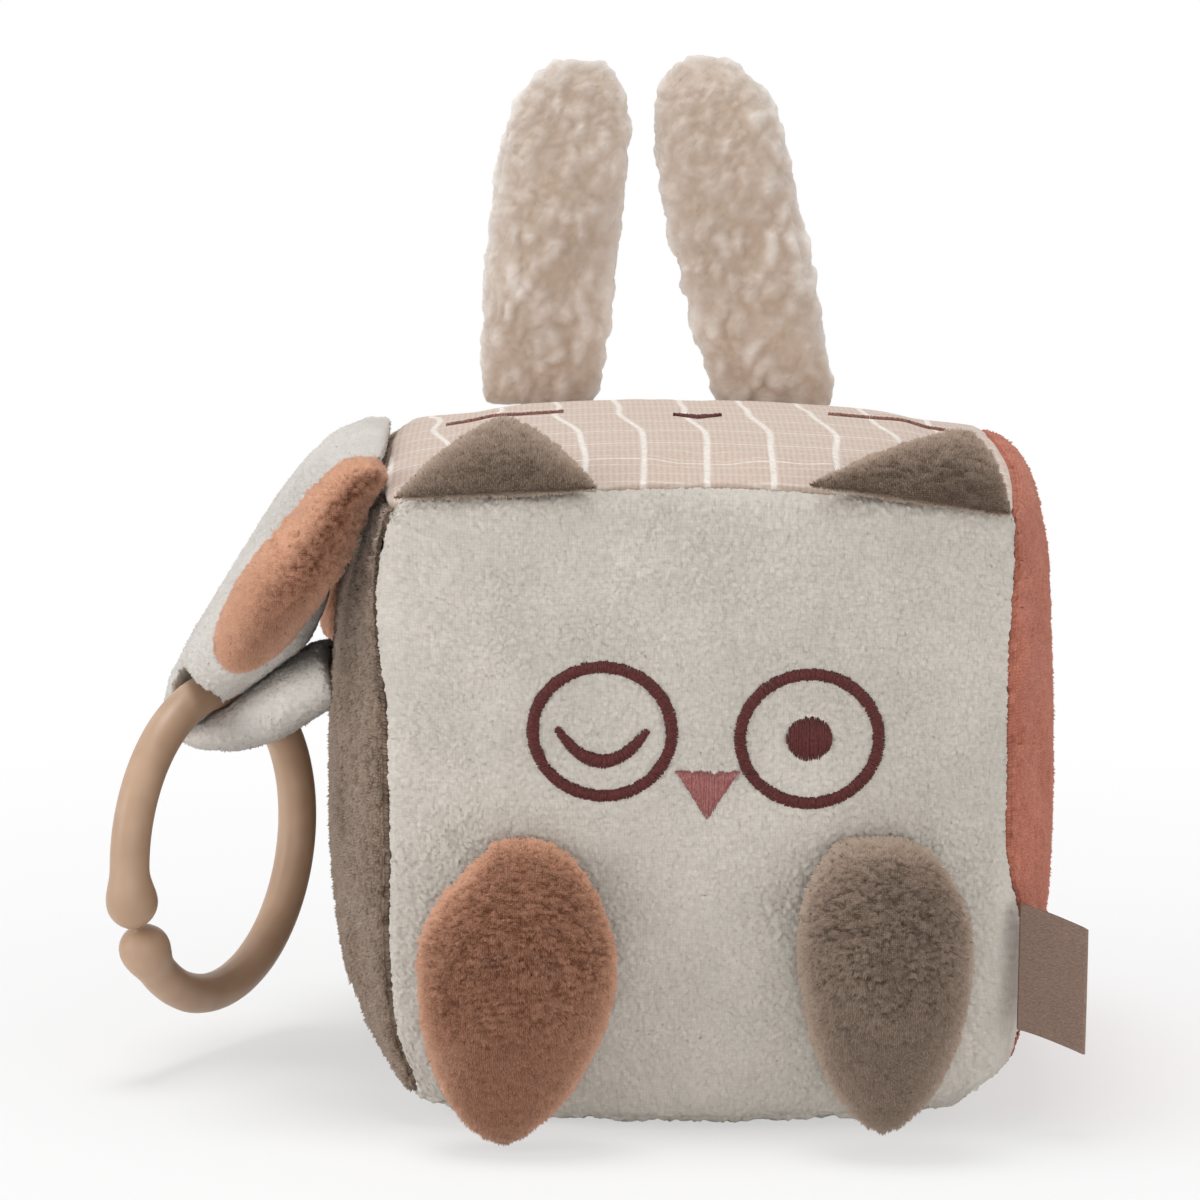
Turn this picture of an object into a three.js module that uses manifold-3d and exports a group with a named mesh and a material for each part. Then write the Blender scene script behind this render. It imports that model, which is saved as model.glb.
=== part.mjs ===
// Soft fabric activity block for a baby: a stuffed cube with an owl's face on its front, a
// rabbit's face on its top, and a padded flap with two floppy ears and a split ring on its left.
// Units are millimetres and +Z is up. The owl looks along -Y, and the block's left is -X.
// The origin is the centre of the flat that the block rests on.

import * as THREE from 'three';
import Module from 'manifold-3d';
import { mergeVertices } from 'three/addons/utils/BufferGeometryUtils.js';

// The cube
const blockSize = 134; // between sewn corners
const seamBow = 3.3; // how far each seam bows out between its corners
const frontCrown = 8;
const backCrown = 8;
const topCrown = 8;
const leftCrown = 12.3;
const rightCrown = 12.3;
const bottomCrown = 3;
const footFlatDepth = 0.5; // the weight of the block presses its lowest point flat
const fabricThickness = 2.4; // plush with its pile
const clearance = 0.3; // between pieces that touch
const crownPowerShare = 0.6; // below 1 a panel rises steeply from its seams and flattens out
const footPinchShare = 0.025; // how much the lowest corners are drawn in
const footPinchPower = 4; // how close to the foot that begins

// The rattle in the middle of the foam
const rattleDiameter = 36;
const rattleLength = 26;
const rattleWall = 1.6;
const rattleLipHeight = 3;
const beadDiameter = 7;

// The owl's embroidered face
const threadThickness = 0.8;
const threadStroke = 2.8;
const eyeWidth = 33;
const eyeHeight = 31;
const faceAcross = 1; // the middle between the eyes
const faceHeight = 90.5;
const eyeSpacing = 45;
const eyeStagger = 1; // how much higher the left eye sits
const pupilDiameter = 10;
const winkWidth = 20;
const winkDrop = 7.2;
const winkRise = 0.7; // of its ends above the middle of the eye
const beakWidth = 14;
const beakHeight = 11;
const beakShift = 0.5; // to the right of the middle between the eyes
const beakDrop = 7.7; // of its top below the middle between the eyes

// The rabbit's embroidered face, on the top
const rabbitStroke = 1.4;
const rabbitEyeWidth = 30;
const rabbitEyeDrop = 4;
const rabbitEyeSpacing = 88;
const rabbitEyeDepth = 8;
const rabbitNoseWidth = 11;
const rabbitNoseHeight = 6;

// The owl's wings
const limbWall = 1.2; // fabric of the stuffed limbs
const fillingClearance = 0.5;
const wingRootThickness = 4.8;
const leftWing = {
  across: -38.8,
  tipAcross: -42.4,
  leanShares: [0, 0, 0.5, 1], // how far over to its tip it is at each station
  topHeight: 68.9,
  tipHeight: 1.2,
  width: 42.6,
  thickness: 18,
  widthSwell: { rootShare: 0.34, peakShare: 0.45, risePower: 0.8, fallPower: 1.8, tipPower: 0.62 },
};
const rightWing = {
  across: 38.7,
  tipAcross: 40.8,
  leanShares: [0.3, 0.85, 0.95, 1],
  topHeight: 70.4,
  tipHeight: 4.6,
  width: 38,
  thickness: 17,
  widthSwell: { rootShare: 0.42, peakShare: 0.36, risePower: 0.8, fallPower: 2, tipPower: 0.6 },
};

// The owl's ears, sewn in the seam between front and top
const owlEarThickness = 8;
const owlEarRootThickness = 2.4;
const owlEarHeight = 15.5;
const owlEarLean = 38; // degrees back from upright
const leftOwlEar = { across: -45.2, apexShift: 1.2, width: 46 };
const rightOwlEar = { across: 45, apexShift: 12.5, width: 46 };

// The rabbit's ears, sewn in the seam between top and back
const rabbitEarThickness = 17;
const rabbitEarRootThickness = 4.8;
const leftRabbitEar = { across: -36.6, tipAcross: -28, bow: -1, width: 31.4, tipHeight: 227.6 };
const rightRabbitEar = { across: 20.6, tipAcross: 2.1, bow: -0.6, width: 32.6, tipHeight: 228.6 };

// The flap on the left, sewn in the seam between left and top
const flapReach = 52; // from the seam to its far edge
const flapDrop = 74.25; // from its top to the foot of its lower layer
const flapHalfDepth = 33;
const flapRootThickness = 2.7;
const liningHalfDepth = 23;

// The two floppy ears beside the flap
const sideEarOffset = 48; // from the middle of the block to the middle of each ear
const sideEarWidth = 26;
const sideEarRootThickness = 4.8;
const frontSideEar = {
  thickness: 17,
  rootOut: 0, // from the seam
  rootDrop: 0, // below the seam
  out: [6.5, 15, 25.2, 34.5],
  down: [3.1, 16.5, 30.7, 44.5],
};
const rearSideEar = {
  thickness: 10.5,
  rootOut: 2.8,
  rootDrop: 3.4,
  out: [4.1, 8.2, 10.4, 10.1],
  down: [8.9, 20.9, 36.9, 51.4],
};

// The split teething ring
const ringOuterDiameter = 80;
const ringWire = 9;
const ringBulb = 11.8;
const ringBulbReach = 8; // from the end of the bulb to where the wire is thin again
const ringSplit = 1.2;
const ringSplitAngle = 204; // degrees round from the far side, over the top
const ringTurn = 60.5; // degrees between the ring's plane and the owl's face
const ringAcross = -109.8;
const ringForward = 3; // towards the owl's face
const ringCentreHeight = 50.6;
const eyeletClearance = 1.5; // between the ring and the hole in the flap
const seatClearance = 0.3; // between the ring and the layer that it hangs on

// The tape label in the seam between front and right
const labelReach = 15;
const labelLength = 28;
const labelTapeThickness = 0.6;
const labelFoldGap = 0.4;
const labelTopHeight = 52.4;
const labelDroop = 5.6; // how far its outer edge hangs below its sewn edge

// Facets
const panelSteps = 9;
const limbRings = 9;
const limbSides = 14;
const weldDistance = 0.0001;
const settlingPasses = 12; // to find a place on a face
const limbRingPower = 1.5; // above 1 the rings crowd towards the tip

const halfSize = blockSize / 2;
const halfSeam = halfSize + seamBow;
const centreHeight = halfSeam + bottomCrown - footFlatDepth;
const crowns = {
  front: frontCrown,
  back: backCrown,
  top: topCrown,
  left: leftCrown,
  right: rightCrown,
  bottom: bottomCrown,
};

const wasm = await Module();
wasm.setup();

const block = new THREE.Group();

function addPiece(name, geometry, color, roughness) {
  const material = new THREE.MeshStandardMaterial({ color, roughness, metalness: 0 });
  const mesh = new THREE.Mesh(geometry, material);
  mesh.name = name;
  block.add(mesh);
  return mesh;
}

// Colours of the fabrics, threads and plastics

const cream = 0xe4dfd8;
const taupe = 0x8f8275;
const terracotta = 0xa8694f;
const coral = 0xb8705e;
const blush = 0xd6c2b3;
const sherpa = 0xe6ddd2;
const caramel = 0xbf9d7e;
const burgundy = 0x6b2f2d;
const dustyPink = 0xb57273;
const tapeBrown = 0x86695a;
const foamGrey = 0xd9d6cc;
const wadding = 0xf2f0ea;
const plasticWhite = 0xe9e9e6;

const plushRoughness = 0.95;
const cottonRoughness = 0.9;
const threadRoughness = 0.6;
const plasticRoughness = 0.45;

// Closed meshes and solids

function closedGeometry(points, triangles) {
  let volume = 0;
  for (const [i, j, k] of triangles) {
    volume += points[i].dot(points[j].clone().cross(points[k]));
  }
  const facing = volume < 0 ? triangles.map(([i, j, k]) => [i, k, j]) : triangles;
  const geometry = new THREE.BufferGeometry();
  const places = points.flatMap((point) => point.toArray());
  geometry.setAttribute('position', new THREE.Float32BufferAttribute(places, 3));
  geometry.setIndex(facing.flat());
  geometry.computeVertexNormals();
  return geometry;
}

function solidOf(geometry) {
  const bare = geometry.clone();
  bare.deleteAttribute('normal');
  bare.deleteAttribute('uv');
  const welded = mergeVertices(bare, weldDistance);
  const vertProperties = new Float32Array(welded.attributes.position.array);
  const triVerts = new Uint32Array(welded.index.array);
  return new wasm.Manifold(new wasm.Mesh({ numProp: 3, vertProperties, triVerts }));
}

function geometryOf(solid) {
  const mesh = solid.getMesh();
  const geometry = new THREE.BufferGeometry();
  geometry.setAttribute('position', new THREE.BufferAttribute(mesh.vertProperties, 3));
  geometry.setIndex(new THREE.BufferAttribute(mesh.triVerts, 1));
  geometry.computeVertexNormals();
  return geometry;
}

// Two triangles for each cell of a grid of points that has this many columns
function gridTriangles(rows, columns, first, wrap) {
  const triangles = [];
  const cells = wrap ? columns : columns - 1;
  for (let row = 0; row < rows - 1; row++) {
    for (let cell = 0; cell < cells; cell++) {
      const next = (cell + 1) % columns;
      const a = first + row * columns + cell;
      const b = first + row * columns + next;
      const c = a + columns;
      const d = b + columns;
      triangles.push([a, b, d], [a, d, c]);
    }
  }
  return triangles;
}

// The cube's surface. Each face is a grid from -1 to 1 both ways, and two faces that meet
// share their seam. A scale below 1 gives the same surface further in.

const faceFrames = {
  front: (a, b, out) => [a, -out, b],
  back: (a, b, out) => [-a, out, b],
  left: (a, b, out) => [-out, -a, b],
  right: (a, b, out) => [out, a, b],
  top: (a, b, out) => [a, b, out],
  bottom: (a, b, out) => [a, -b, -out],
};

function crownAt(face, u, v) {
  return crowns[face] * Math.max((1 - u * u) * (1 - v * v), 0) ** crownPowerShare;
}

function blockPoint(face, u, v, scale = 1) {
  const a = u * (halfSize + seamBow * (1 - v * v));
  const b = v * (halfSize + seamBow * (1 - u * u));
  const out = halfSize + seamBow * (1 - u * u * v * v) + crownAt(face, u, v);
  const point = new THREE.Vector3(...faceFrames[face](a, b, out));
  const low = Math.max(-point.z / halfSeam, 0);
  const pinch = 1 - footPinchShare * low ** footPinchPower;
  point.x *= pinch;
  point.y *= pinch;
  return point.multiplyScalar(scale).setZ(point.z + centreHeight);
}

// The point on a face at this place across and up it, and this far outside it
function onFace(face, across, up, lift) {
  let u = across / halfSeam;
  let v = up / halfSeam;
  for (let pass = 0; pass < settlingPasses; pass++) {
    u = across / (halfSize + seamBow * (1 - v * v));
    v = up / (halfSize + seamBow * (1 - u * u));
  }
  const out = halfSize + seamBow * (1 - u * u * v * v) + crownAt(face, u, v) + lift;
  const point = new THREE.Vector3(...faceFrames[face](across, up, out));
  return point.setZ(point.z + centreHeight);
}

function faceGrid(face, edgeShare, scale) {
  const points = [];
  for (let row = 0; row <= panelSteps; row++) {
    for (let column = 0; column <= panelSteps; column++) {
      const u = edgeShare * Math.sin((Math.PI / 2) * ((2 * column) / panelSteps - 1));
      const v = edgeShare * Math.sin((Math.PI / 2) * ((2 * row) / panelSteps - 1));
      points.push(blockPoint(face, u, v, scale));
    }
  }
  return points;
}

const panelScaleShare = 1 - fabricThickness / halfSeam;
const coreScaleShare = panelScaleShare - clearance / halfSeam;
const mitreShare = 1 - clearance / (Math.SQRT2 * halfSize);

// One sewn panel: the outer and the inner surface, with mitred edges along the seams
function panelGeometry(face) {
  const side = panelSteps + 1;
  const outer = faceGrid(face, mitreShare, 1);
  const inner = faceGrid(face, mitreShare, panelScaleShare);
  const offset = outer.length;
  const triangles = gridTriangles(side, side, 0, false);
  for (const [i, j, k] of gridTriangles(side, side, offset, false)) triangles.push([i, k, j]);
  const rim = [];
  for (let step = 0; step < panelSteps; step++) rim.push(step);
  for (let step = 0; step < panelSteps; step++) rim.push(step * side + panelSteps);
  for (let step = panelSteps; step > 0; step--) rim.push(panelSteps * side + step);
  for (let step = panelSteps; step > 0; step--) rim.push(step * side);
  rim.forEach((place, index) => {
    const next = rim[(index + 1) % rim.length];
    triangles.push([place, place + offset, next + offset], [place, next + offset, next]);
  });
  return closedGeometry([...outer, ...inner], triangles);
}

// The whole surface at one scale
function pillowGeometry(scale) {
  const side = panelSteps + 1;
  const points = [];
  const triangles = [];
  for (const face of Object.keys(crowns)) {
    triangles.push(...gridTriangles(side, side, points.length, false));
    points.push(...faceGrid(face, 1, scale));
  }
  return closedGeometry(points, triangles);
}

const panelLooks = {
  front_panel: ['front', cream],
  back_panel: ['back', cream],
  left_panel: ['left', taupe],
  right_panel: ['right', coral],
  top_panel: ['top', blush],
};
for (const [name, [face, color]] of Object.entries(panelLooks)) {
  const roughness = face === 'top' ? cottonRoughness : plushRoughness;
  addPiece(name, panelGeometry(face), color, roughness);
}

// The bottom panel is pressed flat where the block rests

const floorBoxSize = 4 * halfSize;
const floorBox = new THREE.BoxGeometry(floorBoxSize, floorBoxSize, floorBoxSize);
floorBox.translate(0, 0, -floorBoxSize / 2);
const bottomSolid = solidOf(panelGeometry('bottom')).subtract(solidOf(floorBox));
addPiece('bottom_panel', geometryOf(bottomSolid), cream, plushRoughness);

// Foam core, with a pocket from the back for the rattle and a plug that closes it

function turned(profile, segments) {
  const points = profile.map(([radius, along]) => new THREE.Vector2(radius, along));
  return new THREE.LatheGeometry(points, segments);
}

const rattleSegments = 24;
const rattleRadius = rattleDiameter / 2;
const pocketRadius = rattleRadius + clearance;
const plugRadius = rattleRadius;
const pocketFront = -rattleLength / 2 - clearance;
const plugFront = rattleLength / 2 + clearance;
const pastBack = halfSeam + backCrown;

function drum(radius, from, to) {
  const profile = [[0, from], [radius, from], [radius, to], [0, to]];
  return turned(profile, rattleSegments).translate(0, 0, centreHeight);
}

const coreSolid = solidOf(pillowGeometry(coreScaleShare));
const pocketSolid = solidOf(drum(pocketRadius, pocketFront, pastBack));
addPiece('foam_core', geometryOf(coreSolid.subtract(pocketSolid)), foamGrey, cottonRoughness);
const plugSolid = solidOf(drum(plugRadius, plugFront, pastBack)).intersect(coreSolid);
addPiece('foam_plug', geometryOf(plugSolid), foamGrey, cottonRoughness);

// Rattle: a cup whose thin lip fits inside the lid, and loose beads

const lipRadius = rattleRadius - rattleWall / 2;
const boreRadius = rattleRadius - rattleWall;
const cupFront = -rattleLength / 2;
const lidBack = rattleLength / 2;
const cupProfile = [
  [0, cupFront],
  [rattleRadius, cupFront],
  [rattleRadius, 0],
  [lipRadius - clearance / 2, 0],
  [lipRadius - clearance / 2, rattleLipHeight],
  [boreRadius, rattleLipHeight],
  [boreRadius, cupFront + rattleWall],
  [0, cupFront + rattleWall],
];
const lidProfile = [
  [0, lidBack - rattleWall],
  [boreRadius, lidBack - rattleWall],
  [boreRadius, rattleLipHeight + clearance],
  [lipRadius + clearance / 2, rattleLipHeight + clearance],
  [lipRadius + clearance / 2, clearance],
  [rattleRadius, clearance],
  [rattleRadius, lidBack],
  [0, lidBack],
];
for (const [name, profile] of [['rattle_cup', cupProfile], ['rattle_lid', lidProfile]]) {
  const geometry = turned(profile, rattleSegments).translate(0, 0, centreHeight);
  addPiece(name, geometryOf(solidOf(geometry)), plasticWhite, plasticRoughness);
}

const beadRadius = beadDiameter / 2;
const beadRest = centreHeight - boreRadius + beadRadius + clearance;
const beadPitch = beadDiameter + clearance;
const beadSegments = 9;
for (const place of [-1, 0, 1]) {
  const bead = new THREE.SphereGeometry(beadRadius, beadSegments, beadSegments);
  bead.translate(0, place * beadPitch, beadRest);
  addPiece(`rattle_bead_${place + 2}`, geometryOf(solidOf(bead)), caramel, plasticRoughness);
}

// Embroidery: raised bands of satin stitch that lie on a panel

// The centre line is a list of places on the face, and halfWidths gives the band there
function stitchBand(face, line, halfWidths, closed) {
  const points = [];
  line.forEach(([across, up], index) => {
    const before = line[closed ? (index + line.length - 1) % line.length : Math.max(index - 1, 0)];
    const after = line[closed ? (index + 1) % line.length : Math.min(index + 1, line.length - 1)];
    const along = new THREE.Vector2(after[0] - before[0], after[1] - before[1]).normalize();
    const half = halfWidths[index];
    const sides = [[half, 0], [half, 1], [-half, 1], [-half, 0]];
    for (const [side, raised] of sides) {
      const lift = clearance + raised * threadThickness;
      points.push(onFace(face, across - along.y * side, up + along.x * side, lift));
    }
  });
  const triangles = gridTriangles(line.length, 4, 0, true);
  if (closed) {
    const last = 4 * (line.length - 1);
    for (let side = 0; side < 4; side++) {
      const next = (side + 1) % 4;
      triangles.push([last + side, last + next, next], [last + side, next, side]);
    }
  } else {
    const last = 4 * (line.length - 1);
    triangles.push([0, 2, 1], [0, 3, 2]);
    triangles.push([last, last + 1, last + 2], [last, last + 2, last + 3]);
  }
  return closedGeometry(points, triangles);
}

function stitchRing(across, up, width, height) {
  const steps = 32;
  const line = [];
  for (let step = 0; step < steps; step++) {
    const angle = (2 * Math.PI * step) / steps;
    const x = across + ((width - threadStroke) / 2) * Math.cos(angle);
    const y = up + ((height - threadStroke) / 2) * Math.sin(angle);
    line.push([x, y]);
  }
  return stitchBand('front', line, line.map(() => threadStroke / 2), true);
}

// A closed eye: an arc that hangs between two ends and thins out towards them
function stitchArc(face, across, up, width, drop, stroke) {
  const steps = 12;
  const line = [];
  const halfWidths = [];
  const thinShare = 0.25;
  for (let step = 0; step <= steps; step++) {
    const share = (2 * step) / steps - 1;
    line.push([across + (share * width) / 2, up - drop * (1 - share * share)]);
    halfWidths.push((stroke / 2) * (thinShare + (1 - thinShare) * Math.sqrt(1 - share * share)));
  }
  return stitchBand(face, line, halfWidths, false);
}

// A filled patch of stitches whose outline is a list of places on the face
function stitchPatch(face, outline) {
  const points = [];
  const count = outline.length;
  for (const lift of [clearance, clearance + threadThickness]) {
    const across = outline.reduce((sum, place) => sum + place[0], 0) / count;
    const up = outline.reduce((sum, place) => sum + place[1], 0) / count;
    for (const [x, y] of outline) points.push(onFace(face, x, y, lift));
    points.push(onFace(face, across, up, lift));
  }
  const triangles = [];
  for (let side = 0; side < count; side++) {
    const next = (side + 1) % count;
    const above = count + 1;
    triangles.push([side, count, next], [above + side, above + next, above + count]);
    triangles.push([side, next, above + next], [side, above + next, above + side]);
  }
  return closedGeometry(points, triangles);
}

const leftEyeAcross = faceAcross - eyeSpacing / 2;
const rightEyeAcross = faceAcross + eyeSpacing / 2;
const faceUp = faceHeight - centreHeight;
const leftEyeUp = faceUp + eyeStagger / 2;
const rightEyeUp = faceUp - eyeStagger / 2;
const leftEye = stitchRing(leftEyeAcross, leftEyeUp, eyeWidth, eyeHeight);
const rightEye = stitchRing(rightEyeAcross, rightEyeUp, eyeWidth, eyeHeight);
const winkUp = leftEyeUp + winkRise;
const wink = stitchArc('front', leftEyeAcross, winkUp, winkWidth, winkDrop, threadStroke);
addPiece('owl_eye_ring_left', leftEye, burgundy, threadRoughness);
addPiece('owl_eye_ring_right', rightEye, burgundy, threadRoughness);
addPiece('owl_wink', wink, burgundy, threadRoughness);

const pupilOutline = [];
const pupilSides = 16;
for (let side = 0; side < pupilSides; side++) {
  const angle = (2 * Math.PI * side) / pupilSides;
  const x = rightEyeAcross + (pupilDiameter / 2) * Math.cos(angle);
  const y = rightEyeUp + (pupilDiameter / 2) * Math.sin(angle);
  pupilOutline.push([x, y]);
}
addPiece('owl_pupil', stitchPatch('front', pupilOutline), burgundy, threadRoughness);

const beakAcross = faceAcross + beakShift;
const beakTop = faceUp - beakDrop;
const beakOutline = [
  [beakAcross - beakWidth / 2, beakTop],
  [beakAcross, beakTop - beakHeight],
  [beakAcross + beakWidth / 2, beakTop],
];
addPiece('owl_beak', stitchPatch('front', beakOutline), dustyPink, threadRoughness);

for (const [name, side] of [['rabbit_eye_left', -1], ['rabbit_eye_right', 1]]) {
  const across = (side * rabbitEyeSpacing) / 2;
  const arc = stitchArc('top', across, rabbitEyeDepth, rabbitEyeWidth, rabbitEyeDrop, rabbitStroke);
  addPiece(name, arc, burgundy, threadRoughness);
}
const noseOutline = [
  [-rabbitNoseWidth / 2, 0],
  [0, -rabbitNoseHeight],
  [rabbitNoseWidth / 2, 0],
];
addPiece('rabbit_nose', stitchPatch('top', noseOutline), burgundy, threadRoughness);

// Stuffed limbs: elliptical sections along a spine, which swell from a flat sewn root and
// close at a round tip. The cover is a shell that is open at its root, and the filling lies
// inside it.

// The share of the full size at this share of the length
function swell(along, { rootShare, peakShare, risePower, fallPower, tipPower }) {
  if (along < peakShare) {
    const rise = Math.sin((Math.PI / 2) * (along / peakShare)) ** risePower;
    return rootShare + (1 - rootShare) * rise;
  }
  const past = (along - peakShare) / (1 - peakShare);
  return Math.max(1 - past ** fallPower, 0) ** tipPower;
}

function limbSurface(limb, inset) {
  const curve = new THREE.CatmullRomCurve3(limb.spine);
  const reachShare = 1 - inset / curve.getLength();
  const least = inset > 0 ? limbWall / 2 : 0;
  const points = [];
  let rings = 0;
  for (let ring = 0; ring < limbRings; ring++) {
    const along = 1 - (1 - ring / limbRings) ** limbRingPower;
    const halfWidth = (limb.width / 2) * swell(along, limb.widthSwell) - inset;
    const halfThickness = (limb.thickness / 2) * swell(along, limb.thicknessSwell) - inset;
    if (ring > 0 && Math.min(halfWidth, halfThickness) < least) break;
    const centre = curve.getPointAt(along * reachShare);
    const normal = curve.getTangentAt(along * reachShare).cross(limb.across).normalize();
    for (let side = 0; side < limbSides; side++) {
      const angle = (2 * Math.PI * side) / limbSides;
      const point = centre.clone().addScaledVector(limb.across, halfWidth * Math.cos(angle));
      points.push(point.addScaledVector(normal, halfThickness * Math.sin(angle)));
    }
    rings += 1;
  }
  points.push(curve.getPointAt(reachShare));
  const triangles = gridTriangles(rings, limbSides, 0, true);
  const pole = points.length - 1;
  const last = pole - limbSides;
  for (let side = 0; side < limbSides; side++) {
    triangles.push([last + side, last + ((side + 1) % limbSides), pole]);
  }
  return { points, triangles };
}

function fanTriangles(count, first) {
  const triangles = [];
  for (let side = 1; side < count - 1; side++) {
    triangles.push([first, first + side + 1, first + side]);
  }
  return triangles;
}

function limbSolidGeometry(limb, inset) {
  const { points, triangles } = limbSurface(limb, inset);
  triangles.push(...fanTriangles(limbSides, 0));
  return closedGeometry(points, triangles);
}

function limbCoverGeometry(limb) {
  const outer = limbSurface(limb, 0);
  const inner = limbSurface(limb, limbWall);
  const offset = outer.points.length;
  const triangles = [...outer.triangles];
  for (const [i, j, k] of inner.triangles) triangles.push([i + offset, k + offset, j + offset]);
  for (let side = 0; side < limbSides; side++) {
    const next = (side + 1) % limbSides;
    triangles.push([side, side + offset, next + offset], [side, next + offset, next]);
  }
  return closedGeometry([...outer.points, ...inner.points], triangles);
}

function addStuffedLimb(name, limb, color) {
  addPiece(`${name}_cover`, limbCoverGeometry(limb), color, plushRoughness);
  const filling = limbSolidGeometry(limb, limbWall + fillingClearance);
  addPiece(`${name}_filling`, filling, wadding, plushRoughness);
}

// Wings: each hangs from a short seam on the front panel and lies against it

// Each station's share of the drop to the tip, and its share of the way out to the belly
const wingStationShares = [[0.1, 0.66], [0.36, 1], [0.7, 1], [1, 0.9]];
const wingRootTuckShare = 1 / 6; // of its thickness, pressed into the plush

function wingLimb(wing) {
  const rootUp = wing.topHeight - wingRootThickness / 2 - centreHeight;
  const rootLift = wingRootThickness * (1 / 2 - wingRootTuckShare) + clearance;
  const root = onFace('front', wing.across, rootUp, rootLift);
  const middle = wing.thickness / 2 + clearance;
  const drop = root.z - wing.tipHeight;
  const lean = wing.tipAcross - wing.across;
  const stations = wingStationShares.map(([dropShare, outShare], index) => {
    const x = root.x + lean * wing.leanShares[index];
    return new THREE.Vector3(x, root.y - middle * outShare, root.z - drop * dropShare);
  });
  return {
    spine: [root, ...stations],
    across: new THREE.Vector3(1, 0, 0),
    width: wing.width,
    thickness: wing.thickness,
    widthSwell: wing.widthSwell,
    thicknessSwell: {
      rootShare: wingRootThickness / wing.thickness,
      peakShare: 0.45,
      risePower: 0.9,
      fallPower: 2,
      tipPower: 0.6,
    },
  };
}
addStuffedLimb('wing_left', wingLimb(leftWing), terracotta);
addStuffedLimb('wing_right', wingLimb(rightWing), taupe);

// Owl ears: flat padded triangles that lean back from the front seam

function seamPoint(across, sign) {
  const u = across / halfSize;
  const out = halfSize + seamBow * (1 - u * u);
  return new THREE.Vector3(across, sign * out, centreHeight + out);
}

function owlEarLimb(ear) {
  const outer = seamPoint(ear.across + ear.width / 2, -1);
  const inner = seamPoint(ear.across - ear.width / 2, -1);
  const across = outer.clone().sub(inner).normalize();
  const middle = seamPoint(ear.across, -1);
  const lean = THREE.MathUtils.degToRad(owlEarLean);
  const stand = owlEarRootThickness / 2 + clearance;
  const root = middle.add(new THREE.Vector3(0, -stand / 2, stand));
  const apex = new THREE.Vector3(ear.apexShift, Math.sin(lean), Math.cos(lean));
  apex.y *= owlEarHeight;
  apex.z *= owlEarHeight;
  return {
    spine: [root, root.clone().addScaledVector(apex, 1 / 2), root.clone().add(apex)],
    across,
    width: ear.width,
    thickness: owlEarThickness,
    widthSwell: { rootShare: 1, peakShare: 0, risePower: 1, fallPower: 1.1, tipPower: 0.7 },
    thicknessSwell: {
      rootShare: owlEarRootThickness / owlEarThickness,
      peakShare: 0.45,
      risePower: 1,
      fallPower: 2,
      tipPower: 0.6,
    },
  };
}
for (const [name, ear] of [['owl_ear_left', leftOwlEar], ['owl_ear_right', rightOwlEar]]) {
  addPiece(name, limbSolidGeometry(owlEarLimb(ear), 0), taupe, plushRoughness);
}

// Rabbit ears: long stuffed ears that stand up behind the top panel

function rabbitEarLimb(ear) {
  const stand = rabbitEarRootThickness / 2 + clearance;
  const root = seamPoint(ear.across, 1).add(new THREE.Vector3(0, stand / 2, stand / 2 + clearance));
  const tip = new THREE.Vector3(ear.tipAcross, root.y, ear.tipHeight);
  const middle = root.clone().lerp(tip, 1 / 2);
  middle.x += ear.bow;
  return {
    spine: [root, middle, tip],
    across: new THREE.Vector3(1, 0, 0),
    width: ear.width,
    thickness: rabbitEarThickness,
    widthSwell: { rootShare: 0.9, peakShare: 0.5, risePower: 1, fallPower: 4, tipPower: 0.45 },
    thicknessSwell: {
      rootShare: rabbitEarRootThickness / rabbitEarThickness,
      peakShare: 0.35,
      risePower: 0.9,
      fallPower: 3,
      tipPower: 0.5,
    },
  };
}
addStuffedLimb('rabbit_ear_left', rabbitEarLimb(leftRabbitEar), sherpa);
addStuffedLimb('rabbit_ear_right', rabbitEarLimb(rightRabbitEar), sherpa);

// Side ears: they hang from the left seam on either side of the flap. The front one is bent
// away from the block and the rear one lies against it.

const sideEarStandShare = 1 / 3; // of its root's thickness, by which it stands off the seam

function sideEarLimb(ear, side) {
  const depth = side * sideEarOffset;
  const seam = seamPoint(depth, 1);
  const stand = sideEarRootThickness * sideEarStandShare + clearance;
  const root = new THREE.Vector3(-seam.y - stand - ear.rootOut, depth, seam.z + stand - ear.rootDrop);
  const spine = ear.out.map((out, index) => {
    return new THREE.Vector3(root.x - out, depth, root.z - ear.down[index]);
  });
  return {
    spine: [root, ...spine],
    across: new THREE.Vector3(0, 1, 0),
    width: sideEarWidth,
    thickness: ear.thickness,
    widthSwell: { rootShare: 0.6, peakShare: 0.55, risePower: 1, fallPower: 2.2, tipPower: 0.5 },
    thicknessSwell: {
      rootShare: sideEarRootThickness / ear.thickness,
      peakShare: 0.6,
      risePower: 0.7,
      fallPower: 2.6,
      tipPower: 0.5,
    },
  };
}
addStuffedLimb('side_ear_front', sideEarLimb(frontSideEar, -1), terracotta);
addStuffedLimb('side_ear_rear', sideEarLimb(rearSideEar, 1), terracotta);

// The split ring: a round wire bent to a circle, whose two ends swell into bulbs

const ringRadius = (ringOuterDiameter - ringWire) / 2;
const ringCentre = new THREE.Vector3(ringAcross, -ringForward, ringCentreHeight);
const ringTurnAngle = THREE.MathUtils.degToRad(ringTurn);
const ringSideways = new THREE.Vector3(Math.cos(ringTurnAngle), Math.sin(ringTurnAngle), 0);
const ringNormal = new THREE.Vector3(Math.sin(ringTurnAngle), -Math.cos(ringTurnAngle), 0);
const upwards = new THREE.Vector3(0, 0, 1);

function ringPoint(angle, out, sideways) {
  const radial = ringSideways.clone().multiplyScalar(Math.cos(angle));
  radial.addScaledVector(upwards, Math.sin(angle));
  const point = ringCentre.clone().addScaledVector(radial, ringRadius + out);
  return point.addScaledVector(ringNormal, sideways);
}

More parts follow.
